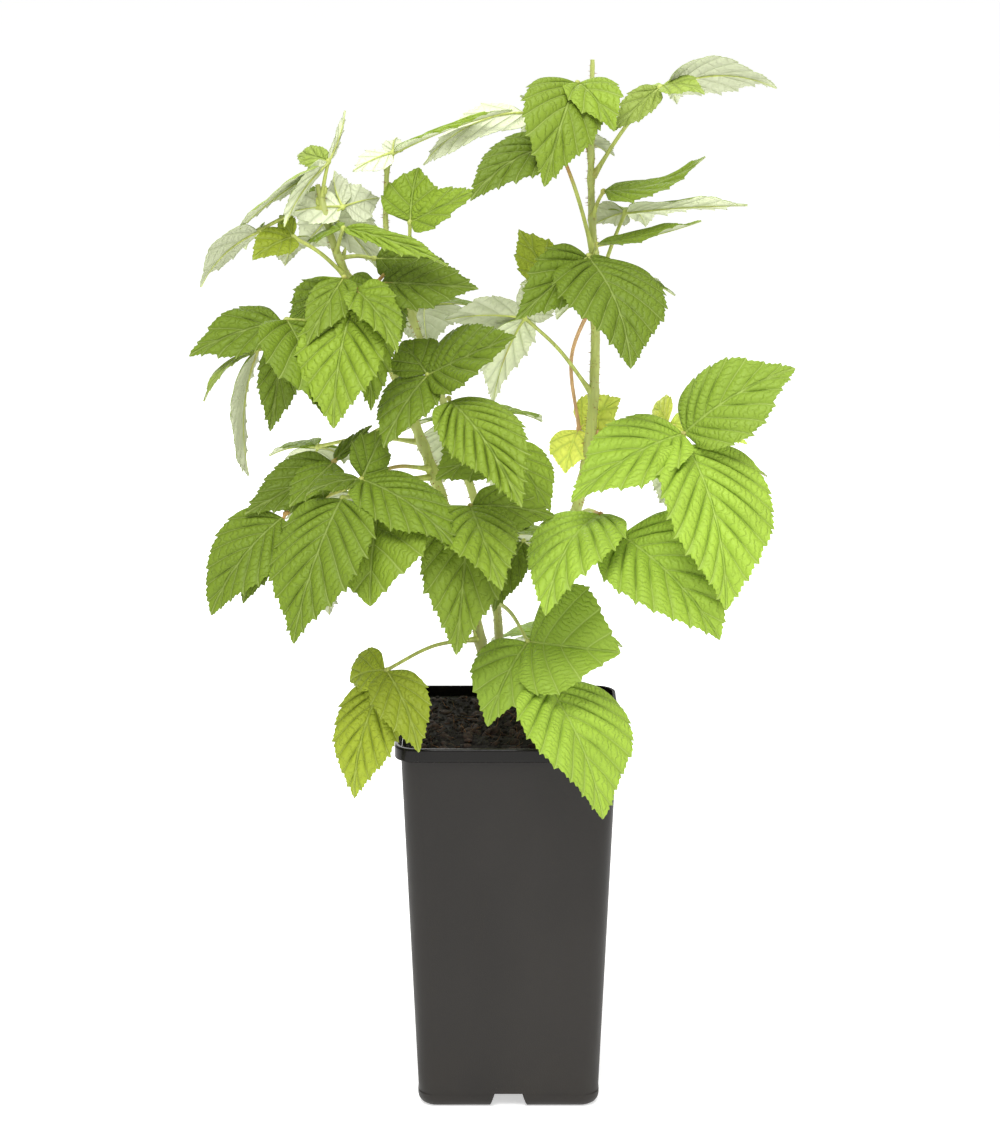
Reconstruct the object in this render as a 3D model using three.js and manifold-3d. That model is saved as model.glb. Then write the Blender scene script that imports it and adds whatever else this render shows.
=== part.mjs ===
// A raspberry plant in a tall square nursery pot, in millimetres, +Z up.
// Three canes rise from the compost. Every leaf is a stalk with its leaflets, fused into one solid.
// The origin is the middle of the pot's flat underside; the plant faces -Y.
import * as THREE from 'three';
import { mergeVertices } from 'three/addons/utils/BufferGeometryUtils.js';
import Module from 'manifold-3d';

const wasm = await Module();
wasm.setup();

// ---- driving dimensions -------------------------------------------------------------------

const POT = {
  height: 207,
  footHalf: 48.6, // half-width at the foot
  neckHalf: 56.7, // half-width just under the lip
  lipHalf: 60,
  lipHeight: 7.5,
  lipEdge: 0.6, // rounding of the lip's edges
  corner: 10, // radius of the upright corners
  footRound: 5, // radius of the foot's bottom edge
  wall: 1.5,
  floor: 1.6,
};
const NOTCH = { foot: 21, top: 15, height: 8, depth: 24 }; // drain notch in each side of the foot
const SOIL = { edge: 198, level: 203, shoulder: 46 };
const GAP = 0.4; // clearance between neighbouring solids
const SMOOTHING = 0.1; // faces finer than this are merged into their neighbours

// Outline of a leaflet: full toward its base, drawn out toward its tip.
const OUTLINE = { base: 0.45, tip: 0.85 };
const BLADE = {
  thickness: 0.9,
  fold: 14, // degrees that each half rises from the midrib
  curl: 0.2, // how far the margins bend down again
  veinMid: 1.7, // how the veins crowd toward the root of the midrib
  veinEdge: 0.75, // and how they spread along the margin
  rootHalf: 0.7, // half-width where the blade leaves its stalk
  tipHalf: 0.3,
  offset: 0.8, // how far from the hub or stalk end the root starts
  rowLength: 15, // length of blade to a row of faces
  rows: { least: 3, most: 7 },
};
const STALK = {
  root: 1.25, // radius at the cane
  hub: 1.0, // radius at the hub
  knuckle: 2.4, // radius of the swelling at the hub
  stub: 0.9, // radius of a leaflet's own stalk
  overlap: 1.5, // how far that stalk runs into its blade
  stand: 0.5, // gap between a stalk's end and the cane's skin
  rise: 0.06, // how far its middle stands above its chord, as a share of its length
  sides: 5,
  steps: 3,
};
// The side leaflets of a plain leaf, as shares of the terminal one.
const TREFOIL = { turn: 68, dip: 1 / 3, length: 0.62, width: 0.7, droop: 40, stalk: 4 };
const CANE = { sides: 8, steps: 14 };

const TONES = {
  deep: '#4f7a22',
  mid: '#6f9a34',
  fresh: '#86ad4a',
  lime: '#9abf3c',
  pale: '#b5c288',
  straw: '#c9d455',
};

// Each cane: points that it passes through, with its radius at the foot, half-way and at the tip.
const CANES = {
  right: {
    radii: [3.3, 2.8, 1.2],
    points: [
      [3, 38, 190], [12, 35, 230], [31, 28, 293], [43, 21, 350], [46, 18, 427], [43, 14, 490],
      [43, 10, 557],
    ],
  },
  middle: {
    radii: [2.6, 2.2, 1.2],
    points: [
      [-4, 30, 190], [-6, 28, 255], [-13, 24, 300], [-32, 17, 368], [-47, 12, 412], [-63, 6, 460],
      [-63, 4, 509],
    ],
  },
  left: {
    radii: [3.2, 2.8, 1.3],
    points: [
      [-6, 15, 190], [-18, 12, 259], [-38, 8, 333], [-54, 8, 377], [-77, 2, 432], [-90, -1, 460],
      [-99, 0, 494],
    ],
  },
};

// ---- leaflets -----------------------------------------------------------------------------

// A leaflet: compass bearing (0 = +X, 90 = +Y), dip below the level, length, width, and
// tilt: how far its face is turned about its midrib
// droop: how far its midrib bends from root to tip
// stalk: how far from the hub the blade starts
function leaflet(bearing, dip, length, width, { tilt = 0, droop = 30, stalk = 0 } = {}) {
  return { bearing, dip, length, width, tilt, droop, stalk };
}

// The usual three: a terminal leaflet on a short stalk, with a smaller one on each side of it.
function trefoil(bearing, dip, length, width) {
  const { turn, droop, stalk } = TREFOIL;
  const size = [dip * TREFOIL.dip, length * TREFOIL.length, width * TREFOIL.width];
  const side = (angle) => leaflet(bearing + angle, ...size);
  return [leaflet(bearing, dip, length, width, { droop, stalk }), side(turn), side(-turn)];
}

// A leaf: the height at which it leaves its cane, the hub where its leaflets meet, its tone,
// and how far the middle of its stalk bows toward -X.
function leaf(height, hub, tone, leaflets, bow = 0) {
  return { height, hub, tone, leaflets, bow };
}

const LEAVES = {
  right: [
    leaf(537, [35, -2, 546], 'mid', [
      leaflet(245, 50, 63, 42, { tilt: 30, droop: 80 }),
      leaflet(305, 35, 38, 28, { tilt: -20, droop: 70 }),
    ]),
    leaf(458, [25, -14, 516], 'deep', [
      leaflet(215, 25, 57, 32, { tilt: 30, droop: 50, stalk: 2 }),
      leaflet(120, -30, 43, 24, { tilt: -40 }),
      leaflet(60, 10, 62, 20, { tilt: 20 }),
    ]),
    leaf(497, [78, 8, 543], 'pale', [
      leaflet(355, 0, 56, 30, { tilt: 45, droop: 76, stalk: 3 }),
      leaflet(325, 5, 26, 17, { tilt: -20, droop: 50 }),
      leaflet(200, 40, 33, 17, { tilt: 50 }),
      leaflet(75, 15, 45, 20, { droop: 40 }),
    ]),
    leaf(437, [61, 14, 478], 'pale', [
      leaflet(345, -5, 64, 30, { tilt: 20, droop: 6 }),
      leaflet(135, 20, 24, 18, { tilt: -40, droop: 40 }),
      leaflet(75, 15, 52, 30, { droop: 40 }),
    ]),
    leaf(476, [49, 4, 490], 'mid', [
      leaflet(340, -20, 57, 29, { tilt: -15, droop: -45 }),
    ]),
    leaf(454, [46, 6, 462], 'mid', [
      leaflet(335, -15, 59, 24, { tilt: -15, droop: -12 }),
    ]),
    leaf(446, [41, -8, 458], 'deep', [
      leaflet(290, 40, 74, 58, { droop: 40, stalk: 2 }),
      leaflet(220, 30, 56, 30, { tilt: 60, droop: 40 }),
      leaflet(15, 25, 52, 14, { tilt: -10, droop: 20 }),
    ]),
    leaf(382, [8, -2, 425], 'pale', [
      leaflet(125, 60, 57, 28, { droop: 20 }),
      leaflet(190, 0, 41, 26, { tilt: -60 }),
      leaflet(45, -30, 28, 22, { tilt: 130, droop: -20 }),
    ]),
    leaf(433, [23, 12, 441], 'lime', [
      leaflet(210, -55, 35, 25, { tilt: 130, droop: -34 }),
      leaflet(110, 20, 36, 24),
    ]),
    leaf(343, [91, -22, 367], 'fresh', [
      leaflet(290, 55, 92, 62, { droop: 42, stalk: 6 }),
      leaflet(205, 25, 71, 46, { tilt: 30, droop: 44 }),
      leaflet(5, -30, 66, 48, { tilt: -45, droop: 62 }),
    ]),
    leaf(432, [38, 32, 359], 'straw', [
      leaflet(235, 60, 25, 26, { droop: 20 }),
      leaflet(10, -35, 27, 24, { tilt: -60, droop: 20 }),
      leaflet(40, 45, 37, 20, { droop: 20 }),
    ], 8),
    leaf(356, [86, 30, 362], 'straw', [
      leaflet(220, 65, 33, 22, { droop: 20 }),
      leaflet(5, 15, 44, 24, { tilt: -30, droop: 20 }),
      leaflet(105, -20, 22, 20, { tilt: 60, droop: 20 }),
    ]),
    leaf(312, [48, -26, 325], 'fresh', [
      leaflet(320, 35, 78, 66, { tilt: -30, droop: 34, stalk: 16 }),
      leaflet(240, 35, 71, 50, { droop: 70 }),
      leaflet(330, 45, 22, 9, { tilt: -40, droop: 20 }),
    ]),
    leaf(422, [54, 50, 434], 'mid', [
      leaflet(70, 30, 66, 42, { droop: 35, stalk: 2 }),
      leaflet(135, 30, 44, 34),
      leaflet(25, 0, 31, 28),
    ]),
    leaf(335, [96, 58, 340], 'mid', trefoil(78, 50, 80, 46)),
    leaf(509, [31, 44, 523], 'mid', trefoil(105, 20, 50, 36)),
    leaf(236, [25, 72, 232], 'fresh', trefoil(80, 35, 66, 48)),
    leaf(302, [75, 56, 289], 'mid', trefoil(55, 40, 66, 44)),
    leaf(519, [12, 14, 530], 'pale', [
      leaflet(190, 25, 60, 30, { tilt: -150, droop: -75, stalk: 2 }),
    ]),
  ],
  middle: [
    leaf(265, [10, -33, 258], 'fresh', [
      leaflet(305, 50, 79, 70, { droop: 35, stalk: 24 }),
      leaflet(335, 0, 52, 66, { tilt: -50, droop: 25 }),
      leaflet(230, 50, 50, 38, { tilt: 20, droop: 50 }),
    ]),
    leaf(504, [-60, 3, 510], 'mid', [
      leaflet(345, -20, 67, 16, { droop: 14 }),
      leaflet(210, 20, 24, 16, { tilt: -140, droop: -10 }),
      leaflet(85, -15, 20, 12, { tilt: 180, droop: -40 }),
    ]),
    leaf(428, [-51, -6, 475], 'mid', [
      leaflet(335, -25, 42, 26, { tilt: -50, droop: 12 }),
      leaflet(70, -65, 29, 32, { droop: 12 }),
      leaflet(80, 5, 52, 24),
    ]),
    leaf(449, [-68, -12, 445], 'deep', [
      leaflet(335, 0, 55, 33, { tilt: -45, droop: 8, stalk: 2 }),
      leaflet(305, 50, 34, 24, { droop: 25 }),
      leaflet(185, 30, 20, 28, { tilt: 30 }),
    ]),
    leaf(385, [-42, -22, 398], 'deep', [
      leaflet(330, -25, 57, 40, { tilt: -50, droop: 15 }),
      leaflet(235, 40, 49, 32, { tilt: 10 }),
      leaflet(130, -35, 25, 30, { tilt: 30, droop: 20 }),
    ]),
    leaf(358, [-31, -34, 388], 'mid', [
      leaflet(300, 30, 83, 41, { tilt: -15, droop: 35, stalk: 2 }),
    ]),
    leaf(338, [-2, -2, 357], 'lime', [
      leaflet(220, 15, 48, 36, { tilt: 30, droop: 20 }),
      leaflet(320, 45, 43, 32, { tilt: -30, droop: 20 }),
      leaflet(80, 65, 57, 26),
    ]),
    leaf(273, [8, 2, 304], 'deep', [
      leaflet(240, 45, 44, 22, { tilt: 20 }),
      leaflet(70, 35, 49, 24),
    ]),
    leaf(351, [-14, 62, 362], 'mid', trefoil(112, 40, 75, 50)),
    leaf(286, [-2, 62, 293], 'mid', trefoil(100, 35, 66, 50)),
    leaf(423, [-45, 52, 424], 'mid', trefoil(90, 30, 65, 46)),
  ],
  left: [
    leaf(288, [-20, -37, 332], 'lime', [
      leaflet(260, 60, 79, 46, { tilt: 10, droop: 60 }),
      leaflet(285, 25, 69, 42, { droop: 40 }),
      leaflet(10, 10, 45, 26, { tilt: -50, droop: 20 }),
    ]),
    leaf(247, [-64, -46, 246], 'lime', [
      leaflet(225, 70, 62, 36, { tilt: 30, droop: 45, stalk: 6 }),
      leaflet(300, 45, 49, 30, { tilt: -10, droop: 40 }),
      leaflet(170, 20, 20, 30, { tilt: 30, droop: 60 }),
    ]),
    leaf(488, [-93, -2, 506], 'pale', [
      leaflet(195, 35, 53, 40, { tilt: -20, droop: 14, stalk: 4 }),
      leaflet(225, 45, 43, 18, { tilt: -60 }),
      leaflet(140, -5, 21, 14, { tilt: 50, droop: 60 }),
      leaflet(45, -65, 27, 6, { tilt: 80, droop: -20 }),
    ]),
    leaf(482, [-129, -6, 471], 'pale', [
      leaflet(205, 40, 42, 28, { tilt: -50, droop: 50 }),
      leaflet(110, 25, 31, 16, { tilt: 30 }),
    ]),
    leaf(446, [-111, -10, 468], 'lime', [
      leaflet(220, 20, 27, 22, { tilt: 30 }),
      leaflet(120, -30, 18, 12, { tilt: 60, droop: 20 }),
      leaflet(105, 35, 31, 22),
    ]),
    leaf(438, [-85, -16, 448], 'mid', [
      leaflet(235, 45, 43, 25, { tilt: 15, droop: 35 }),
      leaflet(145, 35, 45, 30, { tilt: 140, droop: -20 }),
    ]),
    leaf(422, [-79, -24, 443], 'mid', [
      leaflet(255, 60, 65, 46, { tilt: 10, stalk: 10 }),
      leaflet(305, 35, 47, 27, { droop: 25 }),
      leaflet(335, 30, 29, 26, { tilt: -50, droop: 20 }),
      leaflet(300, 75, 62, 34, { droop: 20 }),
    ]),
    leaf(413, [-115, -16, 426], 'deep', [
      leaflet(185, 20, 51, 30, { tilt: 40, droop: 22, stalk: 2 }),
      leaflet(300, 45, 61, 46),
      leaflet(205, 80, 48, 22, { tilt: 60, droop: 20, stalk: 10 }),
    ]),
    leaf(407, [-131, -14, 410], 'pale', [
      leaflet(105, 65, 81, 34, { tilt: 55 }),
      leaflet(205, 40, 38, 12, { droop: 50 }),
    ]),
    leaf(370, [-91, -26, 353], 'deep', [
      leaflet(205, 25, 54, 32, { tilt: 40, droop: 3 }),
      leaflet(35, -35, 28, 10, { tilt: -10, droop: 15 }),
      leaflet(235, 25, 40, 26, { tilt: 10, droop: 20 }),
    ]),
    leaf(343, [-76, -46, 348], 'deep', [
      leaflet(325, 25, 65, 44, { tilt: -20 }),
      leaflet(220, 5, 34, 16, { tilt: 15, droop: 20 }),
      leaflet(60, -45, 31, 24, { tilt: -60, droop: 20 }),
    ]),
    leaf(320, [-85, -58, 341], 'deep', [
      leaflet(240, 55, 80, 56, { droop: 35 }),
    ]),
    leaf(338, [-115, -46, 330], 'deep', [
      leaflet(205, 50, 62, 44, { tilt: 25, droop: 40, stalk: 2 }),
      leaflet(225, 55, 33, 22, { droop: 35, stalk: 18 }),
    ]),
    leaf(304, [-67, -54, 332], 'mid', [
      leaflet(265, 50, 52, 58, { tilt: -5, droop: 40 }),
    ]),
    leaf(460, [-85, -14, 473], 'mid', [
      leaflet(335, 15, 61, 18, { tilt: -25 }),
      leaflet(130, 20, 33, 16, { tilt: 30 }),
    ]),
    leaf(476, [-86, 2, 482], 'pale', [
      leaflet(195, 5, 29, 20, { tilt: -130, droop: -20 }),
      leaflet(25, -10, 20, 22, { tilt: 130, droop: -20 }),
      leaflet(105, -40, 25, 16, { tilt: -130, droop: -30 }),
    ]),
    leaf(428, [-89, 46, 417], 'mid', trefoil(105, 35, 74, 50)),
    leaf(456, [-70, 4, 455], 'deep', [
      leaflet(345, 0, 37, 24, { tilt: -60, droop: 20 }),
    ]),
    leaf(330, [-87, 52, 323], 'mid', [
      leaflet(105, 55, 104, 56, { stalk: 4 }),
      leaflet(40, 30, 50, 36),
      leaflet(155, 25, 43, 36),
    ]),
    leaf(466, [-94, 30, 475], 'deep', [
      leaflet(140, 40, 28, 26, { tilt: -60, stalk: 2 }),
      leaflet(15, 50, 38, 30, { tilt: 40 }),
      leaflet(145, -35, 22, 22, { tilt: 50, droop: -30 }),
    ]),
    leaf(356, [-103, 34, 349], 'mid', [
      leaflet(110, 40, 63, 30, { droop: 35, stalk: 2 }),
      leaflet(70, 25, 38, 26),
      leaflet(145, 15, 35, 22),
    ]),
  ],
};

// ---- solids -------------------------------------------------------------------------------

const radians = THREE.MathUtils.degToRad;

function solidOf(geometry) {
  geometry.deleteAttribute('normal');
  geometry.deleteAttribute('uv');
  const welded = mergeVertices(geometry, 1e-4);
  return new wasm.Manifold(new wasm.Mesh({
    numProp: 3,
    vertProperties: new Float32Array(welded.attributes.position.array),
    triVerts: new Uint32Array(welded.index.array),
  }));
}

function geometryOf(solid) {
  const { numProp, vertProperties, triVerts } = solid.getMesh();
  const positions = new Float32Array(vertProperties.length / numProp * 3);
  for (let i = 0; i < positions.length / 3; i += 1) {
    positions.set(vertProperties.subarray(i * numProp, i * numProp + 3), i * 3);
  }
  const geometry = new THREE.BufferGeometry();
  geometry.setAttribute('position', new THREE.BufferAttribute(positions, 3));
  geometry.setIndex(new THREE.BufferAttribute(new Uint32Array(triVerts), 1));
  geometry.computeVertexNormals();
  return geometry;
}

function closedGeometry(points, faces) {
  const geometry = new THREE.BufferGeometry().setFromPoints(points);
  geometry.setIndex(faces);
  return geometry;
}

// Rings of equally many points, joined one to the next, with a fan over each end.
function loft(rings) {
  const count = rings[0].length;
  const points = rings.flat();
  const faces = [];
  for (let r = 0; r + 1 < rings.length; r += 1) {
    for (let k = 0; k < count; k += 1) {
      const next = (k + 1) % count;
      const [a, b] = [r * count + k, r * count + next];
      faces.push(a, b, b + count, a, b + count, a + count);
    }
  }
  const last = (rings.length - 1) * count;
  for (let k = 1; k + 1 < count; k += 1) {
    faces.push(0, k + 1, k);
    faces.push(last, last + k, last + k + 1);
  }
  return closedGeometry(points, faces);
}

// ---- pot and compost ----------------------------------------------------------------------

function squareRing(half, corner, z, steps = 3) {
  const points = [];
  for (let quarter = 0; quarter < 4; quarter += 1) {
    const start = quarter * Math.PI / 2;
    const centre = new THREE.Vector2(half - corner, half - corner).rotateAround(new THREE.Vector2(), start);
    for (let k = 0; k <= steps; k += 1) {
      const angle = start + k / steps * Math.PI / 2;
      const [x, y] = [centre.x + corner * Math.cos(angle), centre.y + corner * Math.sin(angle)];
      points.push(new THREE.Vector3(x, y, z));
    }
  }
  return points;
}

const neckHeight = POT.height - POT.lipHeight;
const wallHalf = (z) => POT.footHalf + (POT.neckHalf - POT.footHalf) * z / neckHeight;

function potOutside() {
  const foot = [0, 45, 90].map((turn) => {
    const inset = POT.footRound * (1 - Math.sin(radians(turn)));
    const z = POT.footRound * (1 - Math.cos(radians(turn)));
    return squareRing(wallHalf(z) - inset, POT.corner - inset, z);
  });
  const { lipHalf, lipEdge, corner } = POT;
  return loft([
    ...foot,
    squareRing(POT.neckHalf, corner, neckHeight - lipEdge),
    squareRing(lipHalf, corner + 1, neckHeight + lipEdge),
    squareRing(lipHalf, corner + 1, POT.height - lipEdge),
    squareRing(lipHalf - lipEdge, corner + 1 - lipEdge, POT.height),
  ]);
}

// A ring of the wall's inner face, or with a clearance of what fits inside it. It slopes in above the floor.
function innerRing(z, clearance) {
  const slope = Math.max(0, POT.footRound + clearance - z);
  const inset = POT.wall + clearance;
  return squareRing(wallHalf(z) - inset - slope, POT.corner - inset - slope, z);
}

function potInside() {
  const lipInner = POT.lipHalf - POT.wall;
  return loft([
    innerRing(POT.floor, 0),
    innerRing(POT.footRound, 0),
    innerRing(neckHeight - POT.wall, 0),
    squareRing(lipInner, POT.corner, neckHeight + POT.wall),
    squareRing(lipInner, POT.corner, POT.height + 1),
  ]);
}

// One drain notch, or with grow the hollow bump that it makes on the floor inside.
function notch(side, grow) {
  const foot = NOTCH.foot / 2 + grow;
  const top = NOTCH.top / 2 + grow;
  const shape = new THREE.Shape()
    .moveTo(-foot, -1)
    .lineTo(foot, -1)
    .lineTo(top, NOTCH.height + grow)
    .lineTo(-top, NOTCH.height + grow);
  const block = new THREE.ExtrudeGeometry(shape, { depth: NOTCH.depth + grow + 10, bevelEnabled: false });
  block.rotateX(Math.PI / 2); // the shape stands up, and the block runs toward -Y
  block.translate(0, NOTCH.depth + grow - POT.footHalf, 0);
  block.rotateZ(side * Math.PI / 2);
  return solidOf(block);
}

const SIDES = [0, 1, 2, 3];
const bumps = (grow) => wasm.Manifold.union(SIDES.map((side) => notch(side, grow)));

function makePot() {
  const outside = solidOf(potOutside());
  const floorBumps = bumps(POT.wall).intersect(outside);
  return outside.subtract(solidOf(potInside())).add(floorBumps).subtract(bumps(0));
}

// The compost fills the pot to an edge below the lip and heaps up a little toward the middle.
function makeSoil() {
  const fill = loft([
    innerRing(POT.floor + GAP, GAP),
    innerRing(POT.footRound + GAP, GAP),
    innerRing(SOIL.edge, GAP),
    squareRing(SOIL.shoulder, POT.corner, SOIL.level),
  ]);
  return solidOf(fill).subtract(bumps(POT.wall + GAP));
}

// ---- canes and stalks ---------------------------------------------------------------------

function tube(curve, radiusAt, sides, steps) {
  const { normals, binormals } = curve.computeFrenetFrames(steps);
  const rings = [];
  for (let i = 0; i <= steps; i += 1) {
    const centre = curve.getPointAt(i / steps);
    const ring = [];
    for (let k = 0; k < sides; k += 1) {
      const angle = k / sides * 2 * Math.PI;
      ring.push(centre.clone()
        .addScaledVector(normals[i], radiusAt(i / steps) * Math.cos(angle))
        .addScaledVector(binormals[i], radiusAt(i / steps) * Math.sin(angle)));
    }
    rings.push(ring);
  }
  return solidOf(loft(rings));
}

function makeCane({ points, radii }) {
  const curve = new THREE.CatmullRomCurve3(points.map((p) => new THREE.Vector3(...p)));
  const [foot, half, tip] = radii;
  const radiusAt = (t) => (t < 0.5 ? foot + (half - foot) * t * 2 : half + (tip - half) * (t * 2 - 1));
  const shape = (grow) => tube(curve, (t) => radiusAt(t) + grow, CANE.sides, CANE.steps);
  const ground = new THREE.BoxGeometry(POT.lipHalf * 2, POT.lipHalf * 2, SOIL.level);
  ground.translate(0, 0, SOIL.level / 2 + GAP);
  const below = solidOf(ground);
  return { curve, radiusAt, solid: shape(0).subtract(below), reach: shape(GAP) };
}

// The place on a cane at a given height, found by halving.
function atHeight({ curve, radiusAt }, height) {
  let low = 0;
  for (let step = 0.5; step > 1e-6; step /= 2) {
    if (curve.getPointAt(low + step).z < height) low += step;
  }
  return { centre: curve.getPointAt(low), radius: radiusAt(low) };
}

// ---- leaves -------------------------------------------------------------------------------

// The leaflet's own axes: along its midrib, out of its upper face, and across it.
function axesOf({ bearing, dip, tilt }) {
  const [b, e, r] = [radians(bearing), radians(dip), radians(tilt)];
  const along = new THREE.Vector3(Math.cos(e) * Math.cos(b), Math.cos(e) * Math.sin(b), -Math.sin(e));
  const level = new THREE.Vector3(Math.sin(e) * Math.cos(b), Math.sin(e) * Math.sin(b), Math.cos(e));
  const side = level.clone().cross(along);
  const up = level.multiplyScalar(Math.cos(r)).addScaledVector(side, Math.sin(r));
  return { along, up, across: up.clone().cross(along) };
}

// Half-width of the outline at s along it, as a share of the widest.
const ovate = (s) => s ** OUTLINE.base * (1 - s) ** OUTLINE.tip;
const outline = (s) => ovate(s) / ovate(OUTLINE.base / (OUTLINE.base + OUTLINE.tip));

// A point of the blade: t picks the vein, c runs from one margin (-1) over the midrib to the other (1).
function bladePoint(shape, axes, t, c, grow) {
  const { length, width, droop } = shape;
  const bend = radians(droop);
  const radius = length / 2 / Math.sin(bend / 2);
  const [mid, edge] = [t ** BLADE.veinMid, t ** BLADE.veinEdge];
  const s = c === 0 ? mid : edge;
  const least = BLADE.rootHalf + (BLADE.tipHalf - BLADE.rootHalf) * t;
  const half = Math.max(outline(edge) * width / 2, least) + grow;
  const angle = bend * (s - 0.5);
  const out = half * Math.abs(c);
  const rise = out * Math.tan(radians(BLADE.fold)) - BLADE.curl * out * out / (width / 2);
  const normal = axes.along.clone().multiplyScalar(Math.sin(angle)).addScaledVector(axes.up, Math.cos(angle));
  const point = new THREE.Vector3()
    .addScaledVector(axes.along, radius * (Math.sin(angle) + Math.sin(bend / 2)) + grow * (2 * t - 1))
    .addScaledVector(axes.up, radius * (Math.cos(angle) - Math.cos(bend / 2)))
    .addScaledVector(axes.across, half * c)
    .addScaledVector(normal, rise);
  return { point, normal };
}

function bladeSolid(shape, hub, grow) {
  const axes = axesOf(shape);
  const { least, most } = BLADE.rows;
  const rows = THREE.MathUtils.clamp(Math.round(shape.length / BLADE.rowLength), least, most);
  const root = hub.clone().addScaledVector(axes.along, shape.stalk + BLADE.offset);
  const thick = BLADE.thickness / 2 + grow;
  const [upper, lower] = [[], []];
  for (let i = 0; i <= rows; i += 1) {
    for (const c of [-1, 0, 1]) {
      const { point, normal } = bladePoint(shape, axes, i / rows, c, grow);
      upper.push(point.clone().add(root).addScaledVector(normal, thick));
      lower.push(point.add(root).addScaledVector(normal, -thick));
    }
  }
  const under = upper.length;
  const faces = [];
  for (let i = 0; i < rows; i += 1) {
    for (const j of [0, 1]) {
      const [a, b] = [i * 3 + j, i * 3 + j + 3];
      faces.push(a, b, b + 1, a, b + 1, a + 1);
      faces.push(a + under, b + 1 + under, b + under, a + under, a + 1 + under, b + 1 + under);
    }
  }
  const margin = [];
  for (let i = 0; i <= rows; i += 1) margin.push(i * 3);
  margin.push(rows * 3 + 1);
  for (let i = rows; i >= 0; i -= 1) margin.push(i * 3 + 2);
  margin.push(1);
  margin.forEach((p, k) => {
    const q = margin[(k + 1) % margin.length];
    faces.push(p, p + under, q + under, p, q + under, q);
  });
  return solidOf(closedGeometry([...upper, ...lower], faces));
}

// The stalks of a leaf: from the cane to the hub, and on to each leaflet that stands off the hub.
function stalksOf({ height, hub, leaflets, bow }, cane, grow) {
  const { centre, radius } = atHeight(cane, height);
  const outward = hub.clone().sub(centre).setZ(0).normalize();
  const start = centre.clone().addScaledVector(outward, radius + STALK.root + STALK.stand);
  const middle = start.clone().lerp(hub, 0.5);
  middle.x -= bow;
  middle.z += STALK.rise * start.distanceTo(hub);
  const curve = new THREE.CatmullRomCurve3([start, middle, hub]);
  const radiusAt = (t) => STALK.root + (STALK.hub - STALK.root) * t + grow;
  const parts = [tube(curve, radiusAt, STALK.sides, STALK.steps)];
  const knuckle = new THREE.OctahedronGeometry(STALK.knuckle + grow, 0);
  parts.push(solidOf(knuckle.translate(...hub)));
  for (const shape of leaflets) {
    if (shape.stalk === 0) continue;
    const end = hub.clone().addScaledVector(axesOf(shape).along, shape.stalk + STALK.overlap);
    parts.push(tube(new THREE.LineCurve3(hub, end), () => STALK.stub + grow, STALK.sides, 1));
  }
  return wasm.Manifold.union(parts);
}

// Stalks keep their whole length; blades are trimmed clear of other leaves' stalks and earlier blades.
function makeLeaves(canes) {
  const entries = Object.entries(LEAVES).flatMap(([cane, leaves]) => leaves.map((entry, index) => ({
    ...entry,
    name: `leaf_${cane}_${index + 1}`,
    cane: canes[cane],
    hub: new THREE.Vector3(...entry.hub),
  })));
  const stalkReach = entries.map((entry) => stalksOf(entry, entry.cane, GAP));
  const caneReach = Object.values(canes).map((cane) => cane.reach);
  const bladeReach = [];
  return entries.map((entry, index) => {
    const { leaflets, hub } = entry;
    const others = [...caneReach, ...stalkReach.filter((_, k) => k !== index), ...bladeReach];
    const whole = wasm.Manifold.union(leaflets.map((shape) => bladeSolid(shape, hub, 0)));
    const trimmed = whole.subtract(wasm.Manifold.union(others));
    const pieces = trimmed.add(stalksOf(entry, entry.cane, 0)).decompose();
    pieces.sort((a, b) => b.volume() - a.volume());
    bladeReach.push(wasm.Manifold.union(leaflets.map((shape) => bladeSolid(shape, hub, GAP))));
    return { name: entry.name, tone: entry.tone, solid: pieces[0].simplify(SMOOTHING) };
  });
}

// ---- the plant ----------------------------------------------------------------------------

const plant = new THREE.Group();

function addPart(name, solid, color, roughness) {
  const material = new THREE.MeshStandardMaterial({ color, roughness, metalness: 0 });
  const mesh = new THREE.Mesh(geometryOf(solid), material);
  mesh.name = name;
  plant.add(mesh);
}

addPart('pot', makePot(), '#3d3b3a', 0.45);
addPart('soil', makeSoil(), '#2c211a', 0.95);

const canes = Object.fromEntries(Object.entries(CANES).map(([side, cane]) => [side, makeCane(cane)]));
for (const [side, cane] of Object.entries(canes)) addPart(`cane_${side}`, cane.solid, '#a8b583', 0.7);
for (const { name, tone, solid } of makeLeaves(canes)) addPart(name, solid, TONES[tone], 0.55);

export default plant;
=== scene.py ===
"""A raspberry plant with three canes in a tall square nursery pot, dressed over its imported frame.

Sizes are in millimetres until a mesh is made, and the frame and every mesh are in metres.
The leaves grow by the same rule as the frame's solids: each leaf has a stalk from its cane to a
hub, and leaflets that spread from the hub. Here they gain veins, pleats, teeth and pale undersides.
"""

import math
from types import SimpleNamespace

import bpy
import numpy as np
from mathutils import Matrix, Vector, noise


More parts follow.
